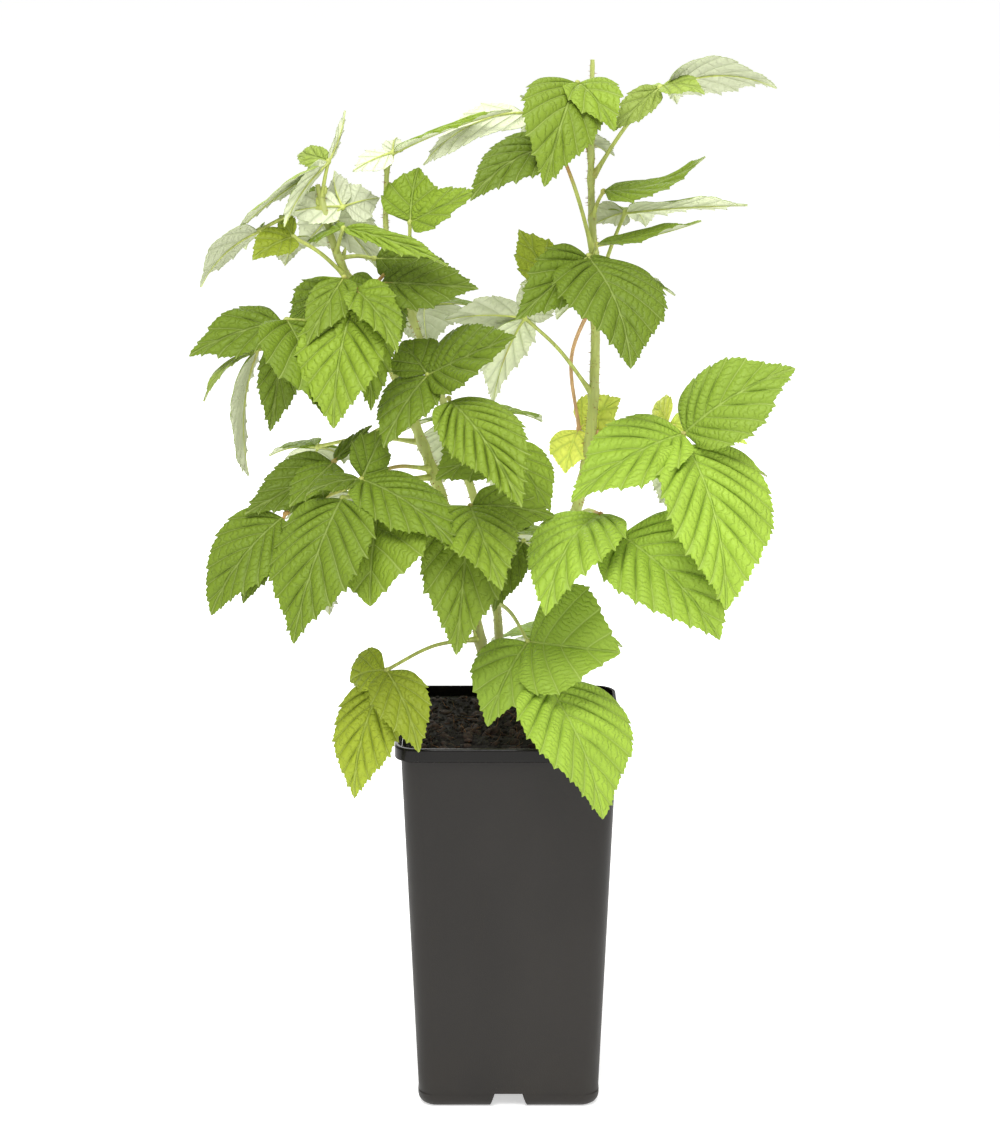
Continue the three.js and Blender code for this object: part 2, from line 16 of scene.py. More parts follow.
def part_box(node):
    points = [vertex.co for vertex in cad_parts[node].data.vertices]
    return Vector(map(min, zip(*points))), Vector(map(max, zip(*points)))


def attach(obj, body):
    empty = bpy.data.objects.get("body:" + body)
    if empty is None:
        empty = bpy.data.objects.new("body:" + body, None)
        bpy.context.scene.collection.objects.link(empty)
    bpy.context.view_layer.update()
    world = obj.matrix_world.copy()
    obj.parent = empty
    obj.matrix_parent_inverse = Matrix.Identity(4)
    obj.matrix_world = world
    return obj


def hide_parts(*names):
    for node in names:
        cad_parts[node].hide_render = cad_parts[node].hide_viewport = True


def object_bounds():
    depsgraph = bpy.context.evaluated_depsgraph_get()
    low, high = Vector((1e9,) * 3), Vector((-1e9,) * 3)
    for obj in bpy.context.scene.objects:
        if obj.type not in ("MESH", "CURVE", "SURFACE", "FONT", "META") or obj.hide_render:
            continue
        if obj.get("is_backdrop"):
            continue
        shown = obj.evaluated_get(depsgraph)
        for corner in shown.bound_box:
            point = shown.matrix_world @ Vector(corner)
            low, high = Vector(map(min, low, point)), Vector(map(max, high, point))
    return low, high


bl_info = {
    "name": "Potted raspberry",
    "version": (1, 0, 0),
    "blender": (4, 5, 0),
    "location": "View3D > Sidebar > Raspberry",
    "description": "Builds a leafy raspberry plant in a square pot over its packed frame",
    "category": "Object",
}

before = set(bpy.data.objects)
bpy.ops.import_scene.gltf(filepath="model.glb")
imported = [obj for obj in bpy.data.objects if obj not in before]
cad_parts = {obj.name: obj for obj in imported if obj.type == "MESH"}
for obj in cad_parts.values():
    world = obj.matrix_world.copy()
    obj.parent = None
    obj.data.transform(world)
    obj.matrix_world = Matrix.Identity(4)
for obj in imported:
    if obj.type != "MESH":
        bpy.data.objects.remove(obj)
CAD_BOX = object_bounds()
MM = 0.001
BODY = "root"

# ---- the plant's schedule ------------------------------------------------------------------

SOIL_LEVEL = 203.0
POT_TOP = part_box("pot")[1].z / MM


def leaflet(bearing, dip, length, width, tilt=0, droop=30, stalk=0):
    """A leaflet: compass bearing, dip below the level, length, width, and how its blade is set.

    tilt turns its face about the midrib, droop bends the midrib from root to tip, and stalk is
    how far from the hub the blade starts.
    """
    return SimpleNamespace(**locals())


def trefoil(bearing, dip, length, width):
    """The usual three: an end leaflet on a short stalk, with a smaller one on each side of it."""
    spread, shorter, slimmer = 68, 0.62, 0.7
    sides = [
        leaflet(bearing + turn, dip / 3, length * shorter, width * slimmer)
        for turn in (spread, -spread)
    ]
    return [leaflet(bearing, dip, length, width, droop=40, stalk=4), *sides]


def leaf(height, hub, tone, *leaflets, bow=0):
    """A leaf: where it leaves its cane, its hub, its tone, and how far its stalk bows sideways."""
    hub = np.array(hub, float)
    return SimpleNamespace(height=height, hub=hub, tone=tone, leaflets=leaflets, bow=bow)


CANES = {
    "right": dict(
        radii=(3.3, 2.8, 1.2),
        points=[
            (3, 38, 190), (12, 35, 230), (31, 28, 293), (43, 21, 350),
            (46, 18, 427), (43, 14, 490), (43, 10, 557),
        ],
    ),
    "middle": dict(
        radii=(2.6, 2.2, 1.2),
        points=[
            (-4, 30, 190), (-6, 28, 255), (-13, 24, 300), (-32, 17, 368),
            (-47, 12, 412), (-63, 6, 460), (-63, 4, 509),
        ],
    ),
    "left": dict(
        radii=(3.2, 2.8, 1.3),
        points=[
            (-6, 15, 190), (-18, 12, 259), (-38, 8, 333), (-54, 8, 377),
            (-77, 2, 432), (-90, -1, 460), (-99, 0, 494),
        ],
    ),
}

LEAVES = {
    "right": [
        leaf(537, (35, -2, 546), "mid", leaflet(245, 50, 63, 42, tilt=30, droop=80),
             leaflet(305, 35, 38, 28, tilt=-20, droop=70)),
        leaf(458, (25, -14, 516), "deep", leaflet(215, 25, 57, 32, tilt=30, droop=50, stalk=2),
             leaflet(120, -30, 43, 24, tilt=-40), leaflet(60, 10, 62, 20, tilt=20)),
        leaf(497, (78, 8, 543), "pale", leaflet(355, 0, 56, 30, tilt=45, droop=76, stalk=3),
             leaflet(325, 5, 26, 17, tilt=-20, droop=50), leaflet(200, 40, 33, 17, tilt=50),
             leaflet(75, 15, 45, 20, droop=40)),
        leaf(437, (61, 14, 478), "pale", leaflet(345, -5, 64, 30, tilt=20, droop=6),
             leaflet(135, 20, 24, 18, tilt=-40, droop=40), leaflet(75, 15, 52, 30, droop=40)),
        leaf(476, (49, 4, 490), "mid", leaflet(340, -20, 57, 29, tilt=-15, droop=-45)),
        leaf(454, (46, 6, 462), "mid", leaflet(335, -15, 59, 24, tilt=-15, droop=-12)),
        leaf(446, (41, -8, 458), "deep", leaflet(290, 40, 74, 58, droop=40, stalk=2),
             leaflet(220, 30, 56, 30, tilt=60, droop=40),
             leaflet(15, 25, 52, 14, tilt=-10, droop=20)),
        leaf(382, (8, -2, 425), "pale", leaflet(125, 60, 57, 28, droop=20),
             leaflet(190, 0, 41, 26, tilt=-60), leaflet(45, -30, 28, 22, tilt=130, droop=-20)),
        leaf(433, (23, 12, 441), "lime", leaflet(210, -55, 35, 25, tilt=130, droop=-34),
             leaflet(110, 20, 36, 24)),
        leaf(343, (91, -22, 367), "fresh", leaflet(290, 55, 92, 62, droop=42, stalk=6),
             leaflet(205, 25, 71, 46, tilt=30, droop=44),
             leaflet(5, -30, 66, 48, tilt=-45, droop=62)),
        leaf(432, (38, 32, 359), "straw", leaflet(235, 60, 25, 26, droop=20),
             leaflet(10, -35, 27, 24, tilt=-60, droop=20), leaflet(40, 45, 37, 20, droop=20),
             bow=8),
        leaf(356, (86, 30, 362), "straw", leaflet(220, 65, 33, 22, droop=20),
             leaflet(5, 15, 44, 24, tilt=-30, droop=20),
             leaflet(105, -20, 22, 20, tilt=60, droop=20)),
        leaf(312, (48, -26, 325), "fresh", leaflet(320, 35, 78, 66, tilt=-30, droop=34, stalk=16),
             leaflet(240, 35, 71, 50, droop=70), leaflet(330, 45, 22, 9, tilt=-40, droop=20)),
        leaf(422, (54, 50, 434), "mid", leaflet(70, 30, 66, 42, droop=35, stalk=2),
             leaflet(135, 30, 44, 34), leaflet(25, 0, 31, 28)),
        leaf(335, (96, 58, 340), "mid", *trefoil(78, 50, 80, 46)),
        leaf(509, (31, 44, 523), "mid", *trefoil(105, 20, 50, 36)),
        leaf(236, (25, 72, 232), "fresh", *trefoil(80, 35, 66, 48)),
        leaf(302, (75, 56, 289), "mid", *trefoil(55, 40, 66, 44)),
        leaf(519, (12, 14, 530), "pale", leaflet(190, 25, 60, 30, tilt=-150, droop=-75, stalk=2)),
    ],
    "middle": [
        leaf(265, (10, -33, 258), "fresh", leaflet(305, 50, 79, 70, droop=35, stalk=24),
             leaflet(335, 0, 52, 66, tilt=-50, droop=25),
             leaflet(230, 50, 50, 38, tilt=20, droop=50)),
        leaf(504, (-60, 3, 510), "mid", leaflet(345, -20, 67, 16, droop=14),
             leaflet(210, 20, 24, 16, tilt=-140, droop=-10),
             leaflet(85, -15, 20, 12, tilt=180, droop=-40)),
        leaf(428, (-51, -6, 475), "mid", leaflet(335, -25, 42, 26, tilt=-50, droop=12),
             leaflet(70, -65, 29, 32, droop=12), leaflet(80, 5, 52, 24)),
        leaf(449, (-68, -12, 445), "deep", leaflet(335, 0, 55, 33, tilt=-45, droop=8, stalk=2),
             leaflet(305, 50, 34, 24, droop=25), leaflet(185, 30, 20, 28, tilt=30)),
        leaf(385, (-42, -22, 398), "deep", leaflet(330, -25, 57, 40, tilt=-50, droop=15),
             leaflet(235, 40, 49, 32, tilt=10), leaflet(130, -35, 25, 30, tilt=30, droop=20)),
        leaf(358, (-31, -34, 388), "mid", leaflet(300, 30, 83, 41, tilt=-15, droop=35, stalk=2)),
        leaf(338, (-2, -2, 357), "mid", leaflet(220, 15, 48, 36, tilt=30, droop=20),
             leaflet(320, 45, 43, 32, tilt=-30, droop=20), leaflet(80, 65, 57, 26)),
        leaf(273, (8, 2, 304), "deep", leaflet(240, 45, 44, 22, tilt=20), leaflet(70, 35, 49, 24)),
        leaf(351, (-14, 62, 362), "mid", *trefoil(112, 40, 75, 50)),
        leaf(286, (-2, 62, 293), "mid", *trefoil(100, 35, 66, 50)),
        leaf(423, (-45, 52, 424), "mid", *trefoil(90, 30, 65, 46)),
    ],
    "left": [
        leaf(288, (-20, -37, 332), "mid", leaflet(260, 60, 79, 46, tilt=10, droop=60),
             leaflet(285, 25, 69, 42, droop=40), leaflet(10, 10, 45, 26, tilt=-50, droop=20)),
        leaf(247, (-64, -46, 246), "lime", leaflet(225, 70, 62, 36, tilt=30, droop=45, stalk=6),
             leaflet(300, 45, 49, 30, tilt=-10, droop=40),
             leaflet(170, 20, 20, 30, tilt=30, droop=60)),
        leaf(488, (-93, -2, 506), "pale", leaflet(195, 35, 53, 40, tilt=-20, droop=14, stalk=4),
             leaflet(225, 45, 43, 18, tilt=-60), leaflet(140, -5, 21, 14, tilt=50, droop=60),
             leaflet(45, -65, 27, 6, tilt=80, droop=-20)),
        leaf(482, (-129, -6, 471), "pale", leaflet(205, 40, 42, 28, tilt=-50, droop=50),
             leaflet(110, 25, 31, 16, tilt=30)),
        leaf(446, (-111, -10, 468), "lime", leaflet(220, 20, 27, 22, tilt=30),
             leaflet(120, -30, 18, 12, tilt=60, droop=20), leaflet(105, 35, 31, 22)),
        leaf(438, (-85, -16, 448), "mid", leaflet(235, 45, 43, 25, tilt=15, droop=35),
             leaflet(145, 35, 45, 30, tilt=140, droop=-20)),
        leaf(422, (-79, -24, 443), "mid", leaflet(255, 60, 65, 46, tilt=10, stalk=10),
             leaflet(305, 35, 47, 27, droop=25), leaflet(335, 30, 29, 26, tilt=-50, droop=20),
             leaflet(300, 75, 62, 34, droop=20)),
        leaf(413, (-115, -16, 426), "deep", leaflet(185, 20, 51, 30, tilt=40, droop=22, stalk=2),
             leaflet(300, 45, 61, 46), leaflet(205, 80, 48, 22, tilt=60, droop=20, stalk=10)),
        leaf(407, (-131, -14, 410), "pale", leaflet(105, 65, 81, 34, tilt=55),
             leaflet(205, 40, 38, 12, droop=50)),
        leaf(370, (-91, -26, 353), "deep", leaflet(205, 25, 54, 32, tilt=40, droop=3),
             leaflet(35, -35, 28, 10, tilt=-10, droop=15),
             leaflet(235, 25, 40, 26, tilt=10, droop=20)),
        leaf(343, (-76, -46, 348), "deep", leaflet(325, 25, 65, 44, tilt=-20),
             leaflet(220, 5, 34, 16, tilt=15, droop=20),
             leaflet(60, -45, 31, 24, tilt=-60, droop=20)),
        leaf(320, (-85, -58, 341), "deep", leaflet(240, 55, 80, 56, droop=35)),
        leaf(338, (-115, -46, 330), "deep", leaflet(205, 50, 62, 44, tilt=25, droop=40, stalk=2),
             leaflet(225, 55, 33, 22, droop=35, stalk=18)),
        leaf(304, (-67, -54, 332), "mid", leaflet(265, 50, 52, 58, tilt=-5, droop=40)),
        leaf(460, (-85, -14, 473), "mid", leaflet(335, 15, 61, 18, tilt=-25),
             leaflet(130, 20, 33, 16, tilt=30)),
        leaf(476, (-86, 2, 482), "pale", leaflet(195, 5, 29, 20, tilt=-130, droop=-20),
             leaflet(25, -10, 20, 22, tilt=130, droop=-20),
             leaflet(105, -40, 25, 16, tilt=-130, droop=-30)),
        leaf(428, (-89, 46, 417), "mid", *trefoil(105, 35, 74, 50)),
        leaf(456, (-70, 4, 455), "deep", leaflet(345, 0, 37, 24, tilt=-60, droop=20)),
        leaf(330, (-87, 52, 323), "mid", leaflet(105, 55, 104, 56, stalk=4),
             leaflet(40, 30, 50, 36), leaflet(155, 25, 43, 36)),
        leaf(466, (-94, 30, 475), "deep", leaflet(140, 40, 28, 26, tilt=-60, stalk=2),
             leaflet(15, 50, 38, 30, tilt=40), leaflet(145, -35, 22, 22, tilt=50, droop=-30)),
        leaf(356, (-103, 34, 349), "mid", leaflet(110, 40, 63, 30, droop=35, stalk=2),
             leaflet(70, 25, 38, 26), leaflet(145, 15, 35, 22)),
    ],
}

# The blade's rule, shared with the frame, and what this finer blade adds to it.
BLADE = SimpleNamespace(
    fold=14, curl=0.2, vein_mid=1.9, vein_edge=0.68, root_half=0.7, tip_half=0.3, offset=0.8,
    base=0.45, tip=0.85, drawn=0.35, thinnest=0.5, margin=0.45, groove=0.25,
)
LARGEST = 90  # length of the leaflets that have pleats, teeth and ripples at their full size
# How unlike two leaflets may be: degrees of fold and twist, and shares of all the rest.
UNLIKE = SimpleNamespace(
    fold=9, twist=10, tooth=(0.75, 1.25), side=0.08, pleat=(0.55, 1.35), waves=(1.1, 1.7),
    sway=0.035,
)
# How far the margin stands out along one vein's lobe, from its own tip to the next lobe's.
LOBE = np.array([1.0, 0.05, 0.25, 0.5, 0.2, 0.35, 0.65, 0.4, 0.7])
# Shares of the full size, by place along the leaflet and by place from the midrib to the margin.
TEETH_ALONG = ((0, 0.04, 0.12, 0.9, 1), (0, 0, 1, 0.7, 0))
TEETH_ACROSS = ((0.78, 0.89, 0.96, 1), (0, 0.12, 0.5, 1))
PLEATS_ACROSS = ((0, 0.08, 0.45, 1), (0, 0.5, 1, 0.5))
DRAWN_ALONG = ((0.6, 0.9, 1), (0, 1, 1))
THICKNESS_ACROSS = ((0, 0.8, 1), (1, 1, BLADE.margin))
RIB = SimpleNamespace(root=0.85, tip=0.12, sunk=0.55, every=3)
# A stalk's radius along it, the swelling at its hub, and the bud in the angle above it.
STALK = SimpleNamespace(rise=0.06, points=16)
STALK_RADII = ((0, 0.06, 0.16, 0.9, 1), (2.1, 1.7, 1.15, 0.95, 1.15))
HUB_PLACES, HUB_RADII = (-2.2, -1.2, 0, 1.0, 1.8), (0.5, 1.35, 1.6, 1.25, 0.3)
BUD_PLACES, BUD_RADII = (0.8, 2.0, 3.2, 4.6), (0.8, 1.2, 0.9, 0.1)
LEAFLET_STALK_RADII = (0.95, 0.9, 0.87)
SWELLING = SimpleNamespace(out=0.55, below=1.5, reach=3.2)  # of a cane, where a leaf leaves it
HALF_COLUMNS = np.array([0, 0.05, 0.16, 0.32, 0.48, 0.64, 0.78, 0.89, 0.96, 1.0])
COLUMNS = np.concatenate([-HALF_COLUMNS[:0:-1], HALF_COLUMNS])
BLADE_MAP = "Blade"  # vein count along a leaflet, and centimetres from its midrib
BAKE_MAP = "OFBake"  # one square for each face of each leaflet
BAKE_SHARES = (0.9, 0.94)  # how much of its square a face fills, without its rim and with it
SHADE = "shade"  # 0 to 1, a leaflet's own share of light and dark
GROWTH_SEED = 11
TINT_SEED = 12


def colour(code):
    """The linear colour of a web colour such as #80a040."""
    parts = (int(code[i:i + 2], 16) / 255 for i in (1, 3, 5))
    return tuple(p / 12.92 if p <= 0.04045 else ((p + 0.055) / 1.055) ** 2.4 for p in parts)


# ---- settings -------------------------------------------------------------------------------


def length_setting(name, description, millimetres):
    return bpy.props.FloatProperty(
        name=name, description=description, default=millimetres * MM, min=0, unit="LENGTH",
        precision=5,
    )


def colour_setting(name, description, code):
    return bpy.props.FloatVectorProperty(
        name=name, description=description, default=colour(code), size=3, min=0, max=1,
        subtype="COLOR",
    )


class RaspberryPotSettings(bpy.types.PropertyGroup):
    """Sizes and colours of the pot and its compost."""

    height: length_setting("Height", "Height of the pot", POT_TOP)
    foot: length_setting("Foot", "Half-width of the pot at its foot", 48.6)
    neck: length_setting("Neck", "Half-width of the pot under its lip", 56.7)
    lip: length_setting("Lip", "Half-width of the lip", 60)
    lip_height: length_setting("Lip height", "Height of the lip's band", 7.5)
    corner: length_setting("Corner", "Radius of the upright corners", 10)
    wall: length_setting("Wall", "Thickness of the wall", 1.5)
    foot_round: length_setting("Foot rounding", "Radius of the foot's bottom edge", 5)
    plastic: colour_setting("Plastic", "Colour of the pot", "#23201d")
    compost: colour_setting("Compost", "Colour of the compost", "#140d07")
    chip: colour_setting("Chips", "Colour of the bark chips in the compost", "#2e1c12")
    fibre: colour_setting("Fibres", "Colour of the fibres in the compost", "#74502f")


class RaspberryPlantSettings(bpy.types.PropertyGroup):
    """Sizes and colours of the canes and leaves."""

    vein_spacing: length_setting("Vein spacing", "Distance between a leaflet's side veins", 9.5)
    pleat: length_setting("Pleat", "Height of the pleats on the largest leaflets", 2.4)
    tooth: length_setting("Tooth", "Length of the teeth on the largest leaflets", 3.0)
    ripple: length_setting("Ripple", "Rise and fall of the largest leaflets' margins", 1.6)
    bristle: length_setting("Bristle", "Length of a bristle on a cane", 1.5)
    deep: colour_setting("Deep", "Darkest leaves", "#6e8524")
    mid: colour_setting("Mid", "Most of the leaves", "#829b2f")
    fresh: colour_setting("Fresh", "Fresh broad leaves", "#96b43e")
    lime: colour_setting("Lime", "Young yellow-green leaves", "#98a930")
    pale: colour_setting("Pale", "Young leaves near the tips", "#98ad4c")
    straw: colour_setting("Straw", "Old yellowing leaves", "#e6ff6a")
    under: colour_setting("Underside", "Downy underside of the leaves", "#e6ebcc")
    stalk: colour_setting("Stalk", "Leaf stalks", "#b6c062")
    cane: colour_setting("Cane", "Canes", "#b2bc62")
    old_stalk: colour_setting("Old stalk", "Stalks of the old yellowing leaves", "#dcb080")
    blush: colour_setting("Blush", "Reddish side of some stalks", "#a5613a")


# ---- finishes -------------------------------------------------------------------------------


def feed(tree, socket, value):
    """Links what another node gives to a socket, or sets the socket's own value."""
    value = getattr(value, "socket", value)
    if isinstance(value, bpy.types.NodeSocket):
        tree.links.new(value, socket)
    elif socket.type == "RGBA":
        socket.default_value = (*value[:3], 1)
    else:
        socket.default_value = value


def add_node(tree, kind, values, settings):
    """Adds a node: its settings first, then the values and links of its sockets."""
    made = tree.nodes.new(kind)
    for name, value in settings.items():
        setattr(made, name, value)
    for key, value in values.items():
        feed(tree, made.inputs[key], value)
    return made


class Signal:
    """A number or colour that a shader node gives, for use in plain arithmetic."""

    def __init__(self, finish, socket):
        self.finish = finish
        self.socket = socket

    def math(self, operation, *others):
        return self.finish.node("Math", dict(enumerate((self, *others))), operation=operation)

    def __add__(self, other):
        return self.math("ADD", other)

    def __sub__(self, other):
        return self.math("SUBTRACT", other)

    def __mul__(self, other):
        return self.math("MULTIPLY", other)

    def __pow__(self, other):
        return self.math("POWER", other)

    def __rsub__(self, other):
        return self * -1 + other

    def __abs__(self):
        return self.math("ABSOLUTE")

    __radd__ = __add__
    __rmul__ = __mul__

    def fade(self, low, high):
        """0 at low and 1 at high, with soft ends."""
        values = {"Value": self, "From Min": low, "From Max": high}
        return self.finish.node("MapRange", values, interpolation_type="SMOOTHSTEP")


class Finish:
    """A material, built up from named patterns."""

    def __init__(self, name, constants=None):
        self.material = bpy.data.materials.new(name)
        self.material.use_nodes = True
        self.tree = self.material.node_tree
        self.shader = self.tree.nodes["Principled BSDF"]
        for socket, value in (constants or {}).items():
            self.shader.inputs[socket].default_value = value
        self.place = self.node("TexCoord", {}, output="Object")

    def node(self, kind, values, output=0, **settings):
        """Adds a shader node and gives one of its outputs."""
        made = add_node(self.tree, "ShaderNode" + kind, values, settings)
        return Signal(self, made.outputs[output])

    def mix(self, factor, first, second):
        values = {"Factor": factor, 6: first, 7: second}
        return self.node("Mix", values, output=2, data_type="RGBA", clamp_factor=True)

    def noise(self, scale, detail=3.0, stretch=(1, 1, 1)):
        """Soft random variation with about scale waves to the metre."""
        vector = self.node("Mapping", {"Vector": self.place, "Scale": stretch})
        return self.node("TexNoise", {"Vector": vector, "Scale": scale, "Detail": detail})

    def height(self):
        """Height above the floor in metres."""
        return self.node("SeparateXYZ", {0: self.place}, output="Z")

    def paint(self, base=None, roughness=None, relief=None, distance=0.001, strength=1.0):
        """Gives the shader its colour, its roughness, and a relief that is distance high."""
        if base is not None:
            feed(self.tree, self.shader.inputs["Base Color"], base)
        if roughness is not None:
            feed(self.tree, self.shader.inputs["Roughness"], roughness)
        if relief is not None:
            values = {"Height": relief, "Distance": distance, "Strength": strength}
            feed(self.tree, self.shader.inputs["Normal"], self.node("Bump", values))
        return self.material


def scaled(base, share):
    """A colour made darker or lighter by a share."""
    return tuple(min(1.0, part * share) for part in base)


def blend(first, second, share):
    return tuple(a + (b - a) * share for a, b in zip(first, second))


def blade_finish(name, base, vein_colour, vein_share, roughness, relief):
    """A leaflet's face: light or dark as a whole, with veins, wrinkled from vein to vein, and with
    painted shade in its hollows and pleat valleys.
    """
    finish = Finish(name, {"Specular IOR Level": 0.2})
    place = finish.node("UVMap", {}, uv_map=BLADE_MAP)
    count = finish.node("SeparateXYZ", {0: place}, output="X")
    side = abs(finish.node("SeparateXYZ", {0: place}, output="Y"))
    from_vein = abs(count.math("FRACT") - 0.5) * 2
    vein = from_vein.fade(0.88, 0.99)
    midrib = side.fade(0.09, 0.03)
    line = vein.math("MAXIMUM", midrib)
    lane = count.math("FLOOR") * 0.37
    rung = ((side + count * 0.45) * 4.6 + finish.noise(300, 2.0) * 2.0 + lane).math("FRACT")
    quilt = (1 - abs(rung * 2 - 1) ** 2.2) * (1 - from_vein**3)
    shade = finish.node("Attribute", {}, output="Fac", attribute_name=SHADE)
    patches = finish.noise(45, 2.0).fade(0.3, 0.7)
    body = finish.mix(shade, scaled(base, 0.74), scaled(base, 1.2))
    body = finish.mix(patches * 0.35, body, scaled(base, 0.8))
    # painted shade: the low parts of the wrinkles are darker
    body = finish.mix((1 - quilt) * 0.15, body, scaled(base, 0.66))
    # painted shade: darker in the pleat valleys on each side of a vein
    body = finish.mix(from_vein.fade(0.5, 0.95) * 0.3, body, scaled(base, 0.62))
    body = finish.mix(line * vein_share, body, vein_colour)
    grain = finish.noise(900, 2.0)
    height = quilt * (1 - line) + grain * 0.12 - line * 0.5
    return finish.paint(
        base=body,
        roughness=grain * 0.16 + roughness,
        relief=height * relief,
        distance=0.0006,
        strength=0.8,
    )


def stalk_finish(name, base, blush):
    """Leaf stalks and midribs: fine streaks, and a reddish side here and there."""
    finish = Finish(name)
    streak = finish.noise(420, 3.0, (1, 1, 0.15))
    body = finish.mix(streak.fade(0.3, 0.7), scaled(base, 0.8), scaled(base, 1.15))
    body = finish.mix(finish.noise(17, 1.0).fade(0.56, 0.72) * 0.7, body, blush)
    return finish.paint(base=body, roughness=streak * 0.2 + 0.38, relief=streak, distance=0.0002)


def cane_finish(settings):
    """Canes: pale green under a waxy bloom, browner toward the compost."""
    finish = Finish("cane_skin")
    streak = finish.noise(300, 4.0, (1, 1, 0.12))
    bloom = finish.noise(55, 3.0).fade(0.45, 0.75)
    foot = finish.height().fade(0.30, 0.205) * 0.55
    dark, light = scaled(settings.cane, 0.78), scaled(settings.cane, 1.08)
    body = finish.mix(streak.fade(0.3, 0.7), dark, light)
    body = finish.mix(bloom * 0.4, body, blend(settings.cane, (0.7, 0.72, 0.5), 0.4))
    body = finish.mix(foot, body, colour("#7a6f42"))
    return finish.paint(base=body, roughness=bloom * 0.2 + 0.42, relief=streak, distance=0.0004)


def grain_finish(name, base, spread, scale, roughness, relief):
    """A rough natural surface: base varied by spread, grained in about scale waves to the metre."""
    finish = Finish(name)
    coarse = finish.noise(scale * 0.25, 3.0)
    fine = finish.noise(scale, 5.0)
    body = finish.mix(fine.fade(0.3, 0.7), scaled(base, 1 - spread), scaled(base, 1 + spread))
    body = finish.mix(coarse.fade(0.35, 0.65) * 0.5, body, scaled(base, 1 - spread * 0.8))
    return finish.paint(base=body, roughness=fine * 0.15 + roughness, relief=fine, distance=relief)


def pot_finish(name, base, roughness, gloss):
    """Moulded plastic: faintly cloudy and scuffed, and dusty toward the foot."""
    finish = Finish(name, {"Specular IOR Level": gloss})
    scuff = finish.noise(90, 4.0, (1, 1, 0.25)).fade(0.5, 0.8)
    grain = finish.noise(1500, 2.0)
    cloud = finish.noise(13, 2.0, (1, 1, 0.5)).fade(0.3, 0.7)
    dust = finish.height().fade(0.05, 0.0) * finish.noise(35, 4.0).fade(0.35, 0.7)
    body = finish.mix(cloud, scaled(base, 0.8), scaled(base, 1.16))
    body = finish.mix(scuff * 0.25, body, scaled(base, 1.5))
    body = finish.mix(dust * 0.06, body, colour("#6b645b"))
    rough = scuff * 0.1 + dust * 0.2 + roughness
    return finish.paint(base=body, roughness=rough, relief=grain + scuff * 0.5, distance=0.00006)


def floor_finish():
    """A pale matt floor, lit from below like a light table."""
    glow = {"Emission Color": (1, 1, 1, 1), "Emission Strength": FLOOR.glow}
    finish = Finish("floor_paper", {"Roughness": 0.9, **glow})
    body = finish.mix(finish.noise(3, 2.0), colour("#f8f8f7"), colour("#f4f4f3"))
    return finish.paint(base=body)


# ---- meshes ---------------------------------------------------------------------------------


def add_object(name, data):
    made = bpy.data.objects.new(name, data)
    bpy.context.scene.collection.objects.link(made)
    return made


def add_piece(name, mesh, slot, nodes=(), materials=()):
    """Makes a mesh one of the plant's pieces: it rides on the plant and stands for these nodes."""
    for material in materials:
        mesh.materials.append(material)
    made = add_object(name, mesh)
    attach(made, BODY)
    if nodes:
        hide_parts(*nodes)
    return made


def remove(*objects):
    for made in objects:
        bpy.data.objects.remove(made)


def smoothed(mesh, degrees=60):
    """Shades a mesh smooth up to an angle."""
    mesh.polygons.foreach_set("use_smooth", np.ones(len(mesh.polygons), bool))
    mesh.set_sharp_from_angle(angle=math.radians(degrees))
    return mesh


def quad_mesh(name, points, faces, finishes, maps, shade):
    """A mesh of four-sided faces with its maps, its shade, and a finish for each face."""
    mesh = bpy.data.meshes.new(name)
    mesh.vertices.add(len(points))
    mesh.vertices.foreach_set("co", (points * MM).ravel())
    mesh.loops.add(faces.size)
    mesh.loops.foreach_set("vertex_index", faces.ravel())
    mesh.polygons.add(len(faces))
    mesh.polygons.foreach_set("loop_start", np.arange(0, faces.size, 4))
    mesh.update(calc_edges=True)
    mesh.polygons.foreach_set("material_index", finishes)
    for key, values in maps.items():
        mesh.uv_layers.new(name=key)
        mesh.uv_layers[key].data.foreach_set("uv", values.ravel())
    mesh.attributes.new(SHADE, "FLOAT", "POINT")
    mesh.attributes[SHADE].data.foreach_set("value", shade)
    return smoothed(mesh, 70)


def loft_mesh(name, rings):
    """A closed mesh through rings of equally many points, with a flat cap over each end."""
    count = len(rings[0])
    points = np.concatenate(rings) * MM
    faces = [tuple(range(count - 1, -1, -1))]
    for r in range(len(rings) - 1):
        for k in range(count):
            a, b = r * count + k, r * count + (k + 1) % count
            faces.append((a, b, b + count, a + count))
    faces.append(tuple(range((len(rings) - 1) * count, len(rings) * count)))
    mesh = bpy.data.meshes.new(name)
    mesh.from_pydata(points.tolist(), [], faces)
    return mesh


def square_ring(half, corner, z, steps=8):
    """A ring round a square with rounded corners."""
    turn = np.linspace(0, math.pi / 2, steps + 1)
    points = []
    for quarter in range(4):
        angle = turn + quarter * math.pi / 2
        middle = (half - corner) * np.array([[1, -1, -1, 1][quarter], [1, 1, -1, -1][quarter]])
        points.append(middle + corner * np.stack([np.cos(angle), np.sin(angle)], -1))
    flat = np.concatenate(points)
    return np.column_stack([flat, np.full(len(flat), z)])


